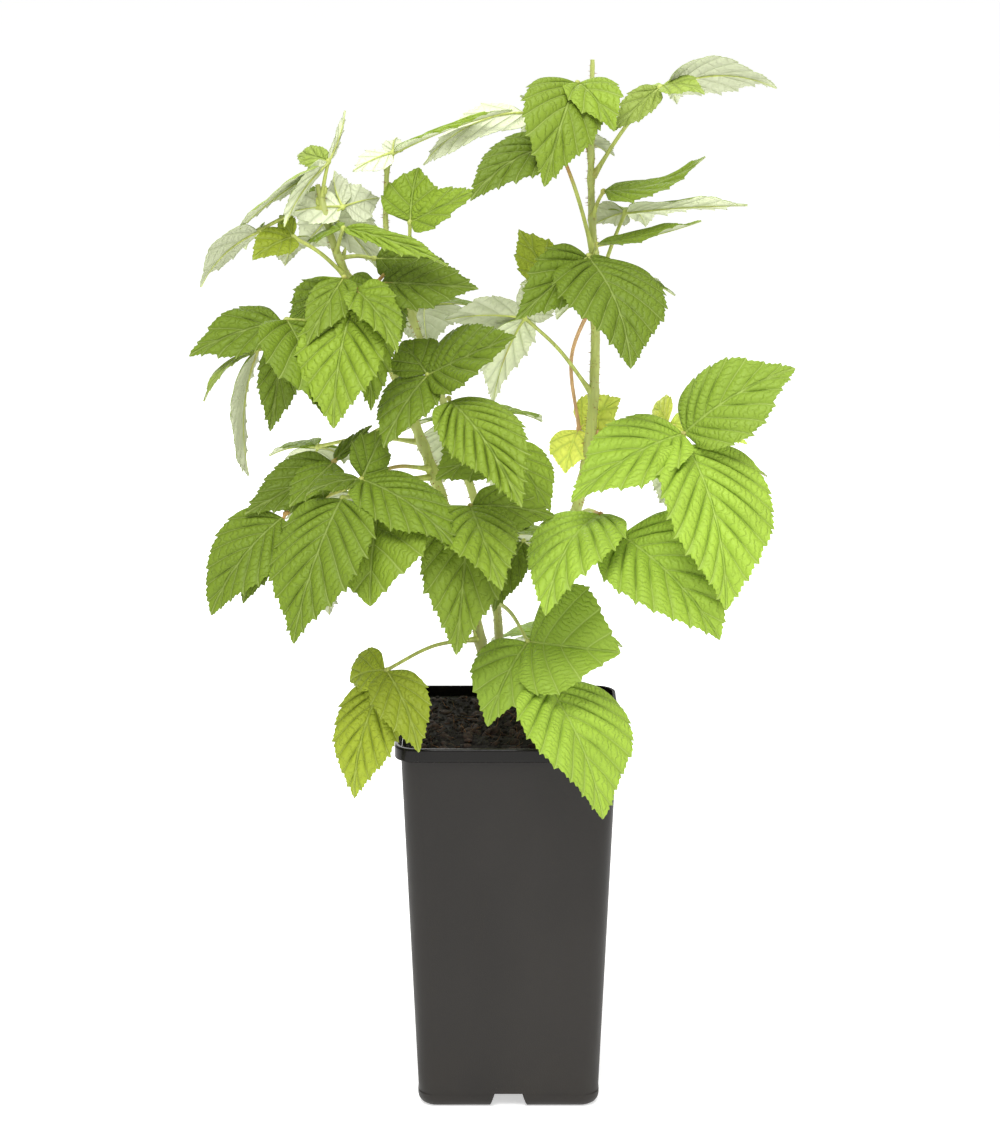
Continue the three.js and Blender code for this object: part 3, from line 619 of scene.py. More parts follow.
def smooth_path(points, count):
    """Points at equal lengths along the frame's own centripetal curve through a few points."""
    points = np.array(points, float)
    ends = [2 * points[0] - points[1], *points, 2 * points[-1] - points[-2]]
    u = np.linspace(0, 1, 40, endpoint=False)[:, None]
    dense = []
    for p0, p1, p2, p3 in zip(ends, ends[1:], ends[2:], ends[3:]):
        d0, d1, d2 = (math.sqrt(np.linalg.norm(b - a)) for a, b in ((p0, p1), (p1, p2), (p2, p3)))
        m1 = ((p1 - p0) / d0 - (p2 - p0) / (d0 + d1) + (p2 - p1) / d1) * d1
        m2 = ((p2 - p1) / d1 - (p3 - p1) / (d1 + d2) + (p3 - p2) / d2) * d1
        cubic = 2 * (p1 - p2) + m1 + m2
        square = 3 * (p2 - p1) - 2 * m1 - m2
        dense.append(p1 + m1 * u + square * u**2 + cubic * u**3)
    dense = np.concatenate([*dense, points[-1:]])
    run = np.concatenate([[0], np.cumsum(np.linalg.norm(np.diff(dense, axis=0), axis=1))])
    places = np.linspace(0, run[-1], count)
    return np.stack([np.interp(places, run, dense[:, k]) for k in range(3)], -1)


# ---- geometry trees -------------------------------------------------------------------------


class Tree:
    """A geometry tree with named inputs, run on an object to give a plain mesh."""

    SOCKETS = {
        "size": "NodeSocketFloat", "count": "NodeSocketInt",
        "thing": "NodeSocketObject", "finish": "NodeSocketMaterial",
    }

    def __init__(self, name, **inputs):
        self.group = bpy.data.node_groups.new(name, "GeometryNodeTree")
        self.sockets = {}
        face = self.group.interface
        face.new_socket("Geometry", in_out="OUTPUT", socket_type="NodeSocketGeometry")
        face.new_socket("Geometry", in_out="INPUT", socket_type="NodeSocketGeometry")
        for key, kind in inputs.items():
            made = face.new_socket(key, in_out="INPUT", socket_type=self.SOCKETS[kind])
            self.sockets[key] = made.identifier
        self.entry = self.group.nodes.new("NodeGroupInput")
        self.exit = self.group.nodes.new("NodeGroupOutput")

    def given(self, name):
        return self.entry.outputs[name]

    def node(self, kind, values, output=0, **settings):
        """Adds a geometry node and gives one of its outputs."""
        return add_node(self.group, kind, values, settings).outputs[output]

    def finish(self, geometry):
        """Ends the tree: what it repeats becomes plain mesh, and takes the finish."""
        plain = self.node("GeometryNodeRealizeInstances", {"Geometry": geometry})
        values = {"Geometry": plain, "Material": self.given("finish")}
        feed(self.group, self.exit.inputs[0], self.node("GeometryNodeSetMaterial", values))

    def run(self, source, name, **values):
        """The tree's result on an object, as a new mesh. The object is removed."""
        modifier = source.modifiers.new("tree", "NODES")
        modifier.node_group = self.group
        for key, value in values.items():
            modifier[self.sockets[key]] = value
        graph = bpy.context.evaluated_depsgraph_get()
        mesh = bpy.data.meshes.new_from_object(source.evaluated_get(graph), depsgraph=graph)
        mesh.name = name
        source.modifiers.remove(modifier)
        remove(source)
        return mesh


def strand_tree():
    """Sweeps a round section along curves that carry their own radius, and roughens its skin."""
    tree = Tree("strands", sides="count", relief="size", grain="size", finish="finish")
    values = {"Resolution": tree.given("sides"), "Radius": 1.0}
    section = tree.node("GeometryNodeCurvePrimitiveCircle", values)
    thick = tree.node("GeometryNodeInputRadius", {})
    values = {"Curve": tree.given("Geometry"), "Profile Curve": section, "Scale": thick}
    skin = tree.node("GeometryNodeCurveToMesh", {**values, "Fill Caps": True})
    lumps = tree.node("ShaderNodeTexNoise", {"Scale": tree.given("grain"), "Detail": 2.0})
    share = tree.node("ShaderNodeMath", {0: lumps, 1: 0.5}, operation="SUBTRACT")
    amount = tree.node("ShaderNodeMath", {0: share, 1: tree.given("relief")}, operation="MULTIPLY")
    normal = tree.node("GeometryNodeInputNormal", {})
    push = tree.node("ShaderNodeVectorMath", {0: normal, "Scale": amount}, operation="SCALE")
    rough = tree.node("GeometryNodeSetPosition", {"Geometry": skin, "Offset": push})
    tree.finish(tree.node("GeometryNodeSetShadeSmooth", {"Geometry": rough}))
    return tree


def scatter_tree():
    """Strews copies of a small thing over a surface, upright on it or leaning at random."""
    tree = Tree(
        "scatter", density="size", seed="count", thing="thing", least="size", most="size",
        lean="size", finish="finish",
    )
    seed = tree.given("seed")
    values = {"Mesh": tree.given("Geometry"), "Density": tree.given("density"), "Seed": seed}
    spots = tree.node("GeometryNodeDistributePointsOnFaces", values)
    upright = spots.node.outputs["Rotation"]
    values = {"Min": (-1.0, -1.0, -3.0), "Max": (1.0, 1.0, 3.0), "Seed": seed}
    turn = tree.node("FunctionNodeRandomValue", values, data_type="FLOAT_VECTOR")
    values = {0: turn, "Scale": tree.given("lean")}
    turn = tree.node("ShaderNodeVectorMath", values, operation="SCALE")
    turn = tree.node("FunctionNodeEulerToRotation", {0: turn})
    values = {"Rotation": upright, "Rotate By": turn}
    turned = tree.node("FunctionNodeRotateRotation", values, rotation_space="LOCAL")
    values = {2: tree.given("least"), 3: tree.given("most"), "Seed": seed}
    size = tree.node("FunctionNodeRandomValue", values, output=1, data_type="FLOAT")
    thing = tree.node("GeometryNodeObjectInfo", {"Object": tree.given("thing")}, output="Geometry")
    values = {"Points": spots, "Instance": thing, "Rotation": turned, "Scale": size}
    tree.finish(tree.node("GeometryNodeInstanceOnPoints", values))
    return tree


def strands_mesh(name, strands, sides, relief, grain, finish):
    """One mesh of round strands. Each is a run of points with the radius at each of them."""
    curve = bpy.data.curves.new(name, "CURVE")
    curve.dimensions = "3D"
    for points, radii in strands:
        spline = curve.splines.new("POLY")
        spline.points.add(len(points) - 1)
        places = np.column_stack([points * MM, np.ones(len(points))])
        spline.points.foreach_set("co", places.ravel())
        spline.points.foreach_set("radius", np.asarray(radii) * MM)
    source = add_object(name + "_path", curve)
    tree = strand_tree()
    return tree.run(source, name, sides=sides, relief=relief * MM, grain=grain, finish=finish)


def small_thing(name, rings):
    """A small closed shape for scattering."""
    made = add_object(name, loft_mesh(name, rings))
    made.data.polygons.foreach_set("use_smooth", np.ones(len(made.data.polygons), bool))
    return made


# ---- pot and compost ------------------------------------------------------------------------

NOTCH = SimpleNamespace(foot=21, top=15, height=8, depth=24)
BAND = SimpleNamespace(height=7.5, out=0.35, slope=0.3)  # a faint moulded band round the foot
SOFTENED = 0.35  # how wide the edges' small bevels are
# The lip's rounded edges: height from the lip's foot or its top, and how far they stand in.
LIP_FOOT = ((-0.4, 3.2), (0, 0.9), (0.5, 0.15), (1.1, 0))
LIP_TOP = ((-1.2, 0), (-0.6, 0.18), (-0.2, 0.5), (0, 0.9))


def wall_half(pot, z):
    """Half-width of the pot's outer wall at height z, in mm."""
    neck = (pot.height - pot.lip_height) / MM
    return (pot.foot + (pot.neck - pot.foot) * min(z / neck, 1.0)) / MM


def pot_outside(pot):
    """The pot as a solid block, from its rounded foot to the top of its lip."""
    corner, lip, top = pot.corner / MM, pot.lip / MM, pot.height / MM
    neck = top - pot.lip_height / MM
    rounding = pot.foot_round / MM
    rings = []
    for turn in np.radians([0, 22, 45, 68, 90]):
        inset = rounding * (1 - math.sin(turn))
        z = rounding * (1 - math.cos(turn))
        rings.append(square_ring(wall_half(pot, z) - inset + BAND.out, corner - inset, z))
    low, high = BAND.height - BAND.slope, BAND.height + BAND.slope
    for z, out in ((low, BAND.out), (high, 0.0), (neck - 1.2, 0.0)):
        rings.append(square_ring(wall_half(pot, z) + out, corner, z))
    for level, edge in ((neck, LIP_FOOT), (top, LIP_TOP)):
        for rise, inset in edge:
            rings.append(square_ring(lip - inset, corner + 1 - inset * 0.5, level + rise))
    return loft_mesh("pot_outside", rings)


def pot_inside(pot):
    """The pot's hollow, from its floor to above its lip."""
    wall, top = pot.wall / MM, pot.height / MM
    neck = top - pot.lip_height / MM
    rounding = pot.foot_round / MM
    rings = [square_ring(wall_half(pot, wall) - wall - rounding + 1.5, 3.0, wall)]
    rings.append(square_ring(wall_half(pot, rounding) - wall, pot.corner / MM - wall, rounding))
    rings.append(square_ring(wall_half(pot, neck - 2) - wall, pot.corner / MM - wall, neck - 2))
    inner = pot.lip / MM - wall
    for z, out in ((neck + 1.2, 0.0), (top - 0.9, -0.5), (top - 0.2, -0.5), (top + 0.5, -0.2)):
        rings.append(square_ring(inner + out, pot.corner / MM, z))
    return loft_mesh("pot_inside", rings)


def notch_blocks(pot, grow):
    """Four upright wedges that cut the drain notches, or with grow the hollows behind them."""
    foot, top = NOTCH.foot / 2 + grow, NOTCH.top / 2 + grow
    height, depth = NOTCH.height + grow, NOTCH.depth + grow
    inner = depth - pot.foot / MM
    outer = -pot.lip / MM
    section = [(-foot, -1), (foot, -1), (top, height), (-top, height)]
    blocks = bpy.data.meshes.new("notches")
    points, faces = [], []
    for quarter in range(4):
        c, s = [(1, 0), (0, 1), (-1, 0), (0, -1)][quarter]
        start = len(points)
        for y in (outer, inner):
            points += [((x * c - y * s) * MM, (x * s + y * c) * MM, z * MM) for x, z in section]
        faces.append([start + k for k in (0, 1, 2, 3)])
        faces.append([start + k for k in (7, 6, 5, 4)])
        for k in range(4):
            n = (k + 1) % 4
            faces.append([start + k, start + k + 4, start + n + 4, start + n])
    blocks.from_pydata(points, [], faces)
    return blocks


def carve(target, *cutters):
    """Cuts each mesh out of an object's mesh."""
    for mesh in cutters:
        tool = add_object(mesh.name, mesh)
        cut = target.modifiers.new("cut", "BOOLEAN")
        cut.operation = "DIFFERENCE"
        cut.solver = "EXACT"
        cut.object = tool
        settle(target)
        remove(tool)
    return target


def settle(target):
    """Makes what an object's modifiers give its own plain mesh."""
    graph = bpy.context.evaluated_depsgraph_get()
    mesh = bpy.data.meshes.new_from_object(target.evaluated_get(graph), depsgraph=graph)
    target.modifiers.clear()
    target.data = mesh


class RASPBERRY_OT_pot(bpy.types.Operator):
    """Build the square pot with its lip, its foot band and its drain notches"""

    bl_idname = "raspberry.pot"
    bl_label = "Pot"

    def execute(self, context):
        pot = context.scene.raspberry_pot
        hollow = carve(add_object("pot_hollow", pot_inside(pot)), notch_blocks(pot, pot.wall / MM))
        body = add_object("pot_body", pot_outside(pot))
        carve(body, notch_blocks(pot, 0), hollow.data.copy())
        edge = body.modifiers.new("edge", "BEVEL")
        edge.width = SOFTENED * MM
        edge.segments = 2
        edge.limit_method = "ANGLE"
        edge.angle_limit = math.radians(50)
        settle(body)
        smoothed(body.data, 35)
        body.modifiers.new("even", "WEIGHTED_NORMAL").keep_sharp = True
        settle(body)
        mesh = body.data
        remove(hollow, body)
        neck = pot.height - pot.lip_height
        on_lip = [int(face.center.z > neck) for face in mesh.polygons]
        mesh.polygons.foreach_set("material_index", on_lip)
        wall = pot_finish("pot_plastic", tuple(pot.plastic), 0.46, 0.28)
        lip = pot_finish("pot_lip", scaled(pot.plastic, 0.4), 0.2, 0.2)
        add_piece("square_pot", mesh, "pot", ["pot"], [wall, lip])
        return {"FINISHED"}


COMPOST = SimpleNamespace(edge=199.3, middle=204.3, bottom=11.0, gap=0.4, rings=46, steps=24)
STREWN = SimpleNamespace(reach=46, low=190, steep=0.3)  # where chips and fibres may lie
CHIP = ((1.2, -0.5), (2.6, -0.2), (2.4, 0.4), (0.9, 0.9))
CRUMB = ((0.4, -0.8), (1.0, -0.3), (0.9, 0.4), (0.3, 0.9))
# Coarse and fine crumbs: level in the noise, waves to the millimetre, its settings, height.
CRUMBLED = ((3.0, 0.09, (0.6, 2.1, 5), 2.2), (9.0, 0.5, (0.9, 2.0, 3), 0.9))


class RASPBERRY_OT_compost(bpy.types.Operator):
    """Fill the pot with crumbly compost, and strew chips and fibres over it"""

    bl_idname = "raspberry.compost"
    bl_label = "Compost"

    def execute(self, context):
        pot = context.scene.raspberry_pot
        reach = wall_half(pot, COMPOST.edge) - pot.wall / MM - COMPOST.gap
        corner = pot.corner / MM - pot.wall / MM
        low = wall_half(pot, COMPOST.bottom) - pot.wall / MM - COMPOST.gap
        rings = [square_ring(low, corner, COMPOST.bottom, COMPOST.steps)]
        rings.append(square_ring(reach, corner, COMPOST.edge - 3, COMPOST.steps))
        for share in np.linspace(1, 0.02, COMPOST.rings):
            z = COMPOST.edge + (COMPOST.middle - COMPOST.edge) * (1 - share**6)
            rounder = max(corner * share, reach * share * (1 - share))
            ring = square_ring(reach * share, rounder, z, COMPOST.steps)
            rings.append(ring + crumbs(ring, share))
        mesh = smoothed(loft_mesh("compost", rings), 80)
        crumb = grain_finish("compost_crumb", pot.compost, 0.55, 900, 0.8, 0.0012)
        add_piece("compost", mesh, "soil", ["soil"], [crumb])
        scatter = scatter_tree()
        top = add_object("compost_top", compost_top(mesh))
        for name, thing, density, most, lean, finish in self.litter(pot):
            values = dict(density=density, seed=7, thing=thing, least=0.5, most=most, lean=lean)
            source = add_object(name + "_source", top.data)
            add_piece(name, scatter.run(source, name, finish=finish, **values), "soil")
            remove(thing)
        remove(top)
        return {"FINISHED"}

    def litter(self, pot):
        """What is strewn: name, thing, number to the square metre, most size, lean, finish."""
        chip = small_thing("chip", [square_ring(h, h * 0.4, z, 1) * [1, 0.55, 1] for h, z in CHIP])
        fibre = small_thing("fibre", fibre_rings())
        crumb = small_thing("crumb", [square_ring(h, h * 0.7, z, 1) for h, z in CRUMB])
        bark = grain_finish("compost_bark", pot.chip, 0.45, 700, 0.75, 0.0006)
        straw = grain_finish("compost_fibre", pot.fibre, 0.4, 500, 0.8, 0.0003)
        peat = grain_finish("compost_peat", pot.compost, 0.6, 800, 0.85, 0.0006)
        return [
            ("compost_chips", chip, 26000, 1.5, 0.5, bark),
            ("compost_fibres", fibre, 22000, 1.3, 0.45, straw),
            ("compost_crumbs", crumb, 90000, 1.5, 1.0, peat),
        ]


def fibre_rings():
    """A thin bent fibre, lying along X."""
    rings = []
    for share in np.linspace(0, 1, 6):
        ring = square_ring(0.22 * (1 - 0.6 * share), 0.1, 0, 1)[:, [2, 0, 1]]
        rings.append(ring + [9 * share - 3, 2.5 * share**2, 1.6 * share**2 - 0.2])
    return rings


def crumbs(ring, share):
    """Rough crumbs over the compost: how far each point of a ring is pushed up."""
    calm = min(1, 0.25 + 3 * (1 - share))
    lift = np.zeros(ring.shape)
    for point, (x, y, _) in enumerate(ring):
        lift[point, 2] = calm * sum(
            noise.fractal(Vector((x, y, level)) * scale, *settings) * height
            for level, scale, settings, height in CRUMBLED
        )
    return lift


def compost_top(mesh):
    """A copy of the compost's upper faces only, clear of the pot's wall."""
    keep = []
    for face in mesh.polygons:
        x, y, z = face.center / MM
        if face.normal.z > STREWN.steep and z > STREWN.low and max(abs(x), abs(y)) < STREWN.reach:
            keep.append(tuple(face.vertices))
    top = bpy.data.meshes.new("compost_top")
    top.from_pydata([tuple(v.co) for v in mesh.vertices], [], keep)
    return top


# ---- canes, stalks and leaves ----------------------------------------------------------------


def axes_of(shape):
    """The leaflet's own axes: along its midrib, out of its upper face, and across it."""
    b, e, r = (math.radians(angle) for angle in (shape.bearing, shape.dip, shape.tilt))
    along = np.array([math.cos(e) * math.cos(b), math.cos(e) * math.sin(b), -math.sin(e)])
    level = np.array([math.sin(e) * math.cos(b), math.sin(e) * math.sin(b), math.cos(e)])
    up = level * math.cos(r) + np.cross(level, along) * math.sin(r)
    return along, up, np.cross(up, along)


def outline(s):
    """Half-width of a leaflet at s along it, as a share of the widest."""

    def ovate(share):
        return share**BLADE.base * (1 - share) ** BLADE.tip

    return ovate(s) / ovate(BLADE.base / (BLADE.base + BLADE.tip))


def named_leaves():
    """Every leaf with its node's name and its cane's, in the frame's order."""
    for cane, leaves in LEAVES.items():
        for index, entry in enumerate(leaves, 1):
            yield f"leaf_{cane}_{index}", cane, entry


def cane_line(cane):
    """A cane's middle line and its radius at each point."""
    foot, half, tip = CANES[cane]["radii"]
    line = smooth_path(CANES[cane]["points"], 260)
    radii = np.interp(np.linspace(0, 1, len(line)), [0, 0.5, 1], [foot, half, tip])
    return line, radii


def stalk_line(entry, cane):
    """A stalk's middle line, from inside its cane to the hub."""
    line, radii = cane_line(cane)
    at = int(np.argmin(np.abs(line[:, 2] - entry.height)))
    outward = (entry.hub - line[at]) * [1, 1, 0]
    outward /= np.linalg.norm(outward)
    start = line[at] + outward * radii[at] * 0.6
    middle = (start + entry.hub) / 2
    middle += np.array([-entry.bow, 0, STALK.rise * np.linalg.norm(entry.hub - start)])
    return smooth_path([start, middle, entry.hub], STALK.points)


def by_side(right, left):
    """A value for the columns of each half of a blade. The midrib goes with the left half."""
    return np.where(COLUMNS > 0, right, left)


class Blade:
    """The skin of one leaflet: upper points, which way they face, and their place on the leaflet.

    The points are a grid, with rows from root to tip and columns from margin to margin.
    """

    def __init__(self, shape, hub, plant, chance):
        fold = by_side(*chance.uniform(-UNLIKE.fold, UNLIKE.fold, 2)) + BLADE.fold
        self.size = shape.length / LARGEST
        self.veins = int(np.clip(round(shape.length / (plant.vein_spacing / MM)), 4, 9))
        self.row = np.arange(self.veins * len(LOBE) + 1)
        self.t = (self.row / self.row[-1])[:, None]
        self.edge = self.t**BLADE.vein_edge
        self.side = np.abs(COLUMNS)[None, :]
        s, reach = self.spread(shape, plant.tooth / MM, chance)
        rise = reach * np.tan(np.radians(fold)) - BLADE.curl * reach**2 / (shape.width / 2)
        waves = self.pleats(plant.pleat / MM, chance) + self.ripples(plant.ripple / MM, chance)
        rise = rise + waves * np.minimum(1, outline(self.edge) * 2)
        rise = rise - BLADE.groove * (self.side < 0.01)
        twist = math.radians(chance.uniform(-UNLIKE.twist, UNLIKE.twist)) * (s - 0.3)
        x = reach * np.sign(COLUMNS)
        out = x * np.cos(twist) - rise * np.sin(twist)
        lift = x * np.sin(twist) + rise * np.cos(twist)
        out = out + shape.length * chance.uniform(-UNLIKE.sway, UNLIKE.sway) * 4 * s * (1 - s)
        self.bend(shape, hub, s, out, lift)
        self.count = np.broadcast_to(self.t * self.veins, s.shape)
        self.across = np.broadcast_to(COLUMNS, s.shape)
        self.span = x / 10
        self.run = np.broadcast_to(self.t, s.shape)
        thick = max(BLADE.thinnest, shape.length / 100)
        self.thickness = thick * np.interp(self.side, *THICKNESS_ACROSS) * np.ones_like(s)

    def spread(self, shape, tooth, chance):
        """Where the points of the flat blade lie: shares along its midrib, and reach from it."""
        mid = self.t**BLADE.vein_mid
        s = mid + (self.edge - mid) * self.side**1.15
        depth = tooth * (0.25 + 0.75 * self.size) * np.interp(self.t[:, 0], *TEETH_ALONG)
        unlike = chance.uniform(*UNLIKE.tooth, (len(self.row) // 3 + 2, 2))
        unlike = np.repeat(unlike, 3, axis=0)[2:][: len(self.row)]
        teeth = (depth * LOBE[self.row % len(LOBE)])[:, None]
        teeth = teeth * by_side(unlike[:, :1], unlike[:, 1:])
        teeth = teeth * np.interp(self.side, *TEETH_ACROSS)
        uneven = 1 + UNLIKE.side * chance.uniform(-1, 1) * np.sign(COLUMNS)
        drawn = 1 - BLADE.drawn * np.interp(self.edge, *DRAWN_ALONG)
        half = outline(self.edge) * drawn * shape.width / 2 * uneven - depth[:, None] * 0.5
        least = BLADE.root_half + (BLADE.tip_half - BLADE.root_half) * self.t
        return s + teeth * 0.6 / shape.length, np.maximum(half, least) * self.side + teeth

    def pleats(self, height, chance):
        """How far the blade rises between its side veins."""
        tall = chance.uniform(*UNLIKE.pleat, (2, self.veins))
        between = np.minimum(self.row // len(LOBE), self.veins - 1)
        ridge = np.abs(np.sin(math.pi * self.t * self.veins)) ** 0.8 - 0.35
        ridge = ridge * by_side(*tall[:, between, None])
        return height * self.size * ridge * np.interp(self.side, *PLEATS_ACROSS)

    def ripples(self, height, chance):
        """How far the margins rise and fall, out of step with each other."""
        beat = 2 * math.pi * (chance.uniform(*UNLIKE.waves) * self.t + chance.random())
        return height * self.size * self.side**2 * np.sin(beat + by_side(2.2, 0))

    def bend(self, shape, hub, s, out, lift):
        """Lays the blade along its midrib's arc, and notes which way each point faces."""
        along, up, across = axes_of(shape)
        bend = math.radians(shape.droop)
        radius = shape.length / 2 / math.sin(bend / 2)
        angle = bend * (s - 0.5)
        ahead = radius * (np.sin(angle) + math.sin(bend / 2))
        above = radius * (np.cos(angle) - math.cos(bend / 2))
        self.normals = np.sin(angle)[..., None] * along + np.cos(angle)[..., None] * up
        self.points = hub + along * (shape.stalk + BLADE.offset)
        self.points = self.points + ahead[..., None] * along + above[..., None] * up
        self.points += out[..., None] * across + lift[..., None] * self.normals

    def midrib(self):
        """The raised rib under the blade: its line and its radius."""
        rows, middle = slice(0, None, RIB.every), len(COLUMNS) // 2
        low = self.thickness[rows, middle, None] * RIB.sunk
        line = self.points[rows, middle] - self.normals[rows, middle] * low
        return line, np.linspace(RIB.root, RIB.tip, len(line))


class BladeMesh:
    """Gathers blades into one mesh, with a square of the bake map for each face of each blade."""

    def __init__(self, total):
        self.squares = math.ceil(math.sqrt(total * 2))
        self.points, self.faces, self.finishes, self.shade = [], [], [], []
        self.maps = {BLADE_MAP: [], BAKE_MAP: []}
        self.start, self.square = 0, 0

    def place(self, blade):
        """Where a blade's points lie on the bake map's next square, and where its rim's lie."""
        middle = np.array([self.square % self.squares, self.square // self.squares]) + 0.5
        self.square += 1
        flat = np.stack([blade.run, (blade.across + 1) / 2], -1).reshape(-1, 2) - 0.5
        return [(middle + share * flat) / self.squares for share in BAKE_SHARES]

    def add(self, blade, shade):
        rows, columns = blade.run.shape
        index = np.arange(rows * columns).reshape(rows, columns)
        a, b = index[:-1, :-1].ravel(), index[1:, :-1].ravel()
        upper = np.stack([a, b, b + 1, a + 1], -1)
        lower = upper[:, ::-1]
        sides = [index[:-1, 0], index[-1, :-1], index[:0:-1, -1], index[0, :0:-1]]
        border = np.concatenate(sides)
        after = np.roll(border, -1)
        offset = (blade.normals * blade.thickness[..., None] / 2).reshape(-1, 3)
        flat = blade.points.reshape(-1, 3)
        under = rows * columns
        rim = np.stack([border, border + under, after + under, after], -1)
        self.points += [flat + offset, flat - offset]
        self.faces += [upper + self.start, lower + under + self.start, rim + self.start]
        self.finishes += [np.repeat([0, 1, 0], [len(upper), len(lower), len(rim)])]
        on_blade = np.stack([blade.count, blade.span], -1).reshape(-1, 2)
        top, _ = self.place(blade)
        bottom, outer = self.place(blade)
        self.maps[BLADE_MAP] += [on_blade[upper], on_blade[lower], on_blade[rim % under]]
        border_map = np.stack([outer[border], bottom[border], bottom[after], outer[after]], 1)
        self.maps[BAKE_MAP] += [top[upper], bottom[lower], border_map]
        self.shade.append(np.full(2 * under, shade))
        self.start += 2 * under

    def mesh(self, name):
        joined = {key: np.concatenate(values) for key, values in self.maps.items()}
        return quad_mesh(
            name, np.concatenate(self.points), np.concatenate(self.faces),
            np.concatenate(self.finishes), joined, np.concatenate(self.shade),
        )


def grown_blades(plant):
    """Every leaf with its blades. The seeds are fixed, so a leaflet always grows the same way."""
    chance = np.random.default_rng(GROWTH_SEED)
    tint = np.random.default_rng(TINT_SEED)
    for name, cane, entry in named_leaves():
        shapes = entry.leaflets
        blades = [(Blade(shape, entry.hub, plant, chance), tint.random()) for shape in shapes]
        yield name, cane, entry, blades


class RASPBERRY_OT_leaves(bpy.types.Operator):
    """Grow every leaflet with its veins, pleats and teeth, one piece for each cane and tone"""

    bl_idname = "raspberry.leaves"
    bl_label = "Leaves"

    def execute(self, context):
        plant = context.scene.raspberry_plant
        groups = {}
        for name, cane, entry, blades in grown_blades(plant):
            groups.setdefault((cane, entry.tone), []).append((name, blades))
        tones = dict.fromkeys(tone for _, tone in groups)
        faces = {tone: self.finishes(plant, tone) for tone in tones}
        for (cane, tone), leaves in groups.items():
            gathered = BladeMesh(sum(len(blades) for _, blades in leaves))
            for _, blades in leaves:
                for blade, shade in blades:
                    gathered.add(blade, shade)
            piece = f"{cane}_leaves_{tone}"
            nodes = [name for name, _ in leaves]
            add_piece(piece, gathered.mesh(piece), f"leaf_{tone}", nodes, faces[tone])
        return {"FINISHED"}

    def finishes(self, plant, tone):
        """The upper and lower finish of leaves of one tone."""
        base = tuple(getattr(plant, tone))
        vein = blend(base, colour("#c8d68a"), 0.5)
        down = blend(tuple(plant.under), base, 0.12 if tone == "pale" else 0.16)
        rib = blend(down, base, 0.5)
        return [
            blade_finish(f"leaf_{tone}_upper", base, vein, 0.4, 0.4, 1.0),
            blade_finish(f"leaf_{tone}_lower", down, rib, 0.4, 0.72, -0.8),
        ]


class RASPBERRY_OT_stalks(bpy.types.Operator):
    """Grow the leaf stalks with their hubs and buds, and the rib under every leaflet"""

    bl_idname = "raspberry.stalks"
    bl_label = "Stalks"

    def execute(self, context):
        plant = context.scene.raspberry_plant
        green = stalk_finish("stalk_green", tuple(plant.stalk), plant.blush)
        red = stalk_finish("stalk_red", tuple(plant.old_stalk), plant.blush)
        strands, nodes = {}, {}
        for name, cane, entry, blades in grown_blades(plant):
            kind = (cane, entry.tone == "straw")
            nodes.setdefault(kind, []).append(name)
            strands.setdefault(kind, []).extend(self.leaf_strands(entry, cane, blades))
        for (cane, old), parts in strands.items():
            piece = f"{cane}_stalks_old" if old else f"{cane}_stalks"
            mesh = strands_mesh(piece, parts, 8, 0.25, 500, red if old else green)
            add_piece(piece, mesh, "cane", nodes[cane, old])
        return {"FINISHED"}

    def leaf_strands(self, entry, cane, blades):
        """The strands of one leaf: its stalk, hub and bud, and each leaflet's stalk and rib."""
        line = stalk_line(entry, cane)
        yield line, np.interp(np.linspace(0, 1, len(line)), *STALK_RADII)
        ahead = line[-1] - line[-2]
        ahead /= np.linalg.norm(ahead)
        yield entry.hub + ahead * np.array(HUB_PLACES)[:, None], HUB_RADII
        outward = (line[1] - line[0]) * [1, 1, 0]
        outward /= np.linalg.norm(outward)
        rise = np.array(BUD_PLACES)[:, None]
        yield line[0] + outward * (1.3 + rise * 0.3) + rise * [0, 0, 1.2], BUD_RADII
        reach = np.linspace(0, 1, len(LEAFLET_STALK_RADII) + 1)[:-1, None]
        for blade, _ in blades:
            rib, radii = blade.midrib()
            yield entry.hub + (rib[0] - entry.hub) * reach, LEAFLET_STALK_RADII
            yield rib, radii


class RASPBERRY_OT_canes(bpy.types.Operator):
    """Grow the three canes, swollen where their leaves leave them, with fine bristles"""

    bl_idname = "raspberry.canes"
    bl_label = "Canes"

    def execute(self, context):
        plant = context.scene.raspberry_plant
        skin = cane_finish(plant)
        reddish = blend(plant.blush, plant.cane, 0.3)
        hair = grain_finish("bristle_skin", reddish, 0.3, 300, 0.6, 0.0001)
        scatter = scatter_tree()
        spike = self.spike(plant.bristle / MM)
        for cane in CANES:
            line, radii = cane_line(cane)
            for entry in LEAVES[cane]:
                away = line[:, 2] - entry.height + SWELLING.below
                radii = radii + SWELLING.out * np.exp(-((away / SWELLING.reach) ** 2))
            kept = line[:, 2] > SOIL_LEVEL - 4
            mesh = strands_mesh(f"{cane}_cane", [(line[kept], radii[kept])], 20, 0.9, 260, skin)
            bristle = small_thing("bristle", [square_ring(h, h * 0.5, z, 1) for h, z in spike])
            source = add_object("bristle_source", mesh.copy())
            values = dict(density=110000, seed=3, thing=bristle, least=0.5, most=1.2, lean=0.35)
            bristles = scatter.run(source, f"{cane}_bristles", finish=hair, **values)
            add_piece(f"{cane}_cane_skin", mesh, "cane", [f"cane_{cane}"])
            add_piece(f"{cane}_bristles", bristles, "cane")
            remove(bristle)
        return {"FINISHED"}

    def spike(self, tall):
        """Half-widths and heights of one bristle."""
        return ((0.2, -0.1), (0.12, tall * 0.4), (0.03, tall))


# ---- stage ----------------------------------------------------------------------------------

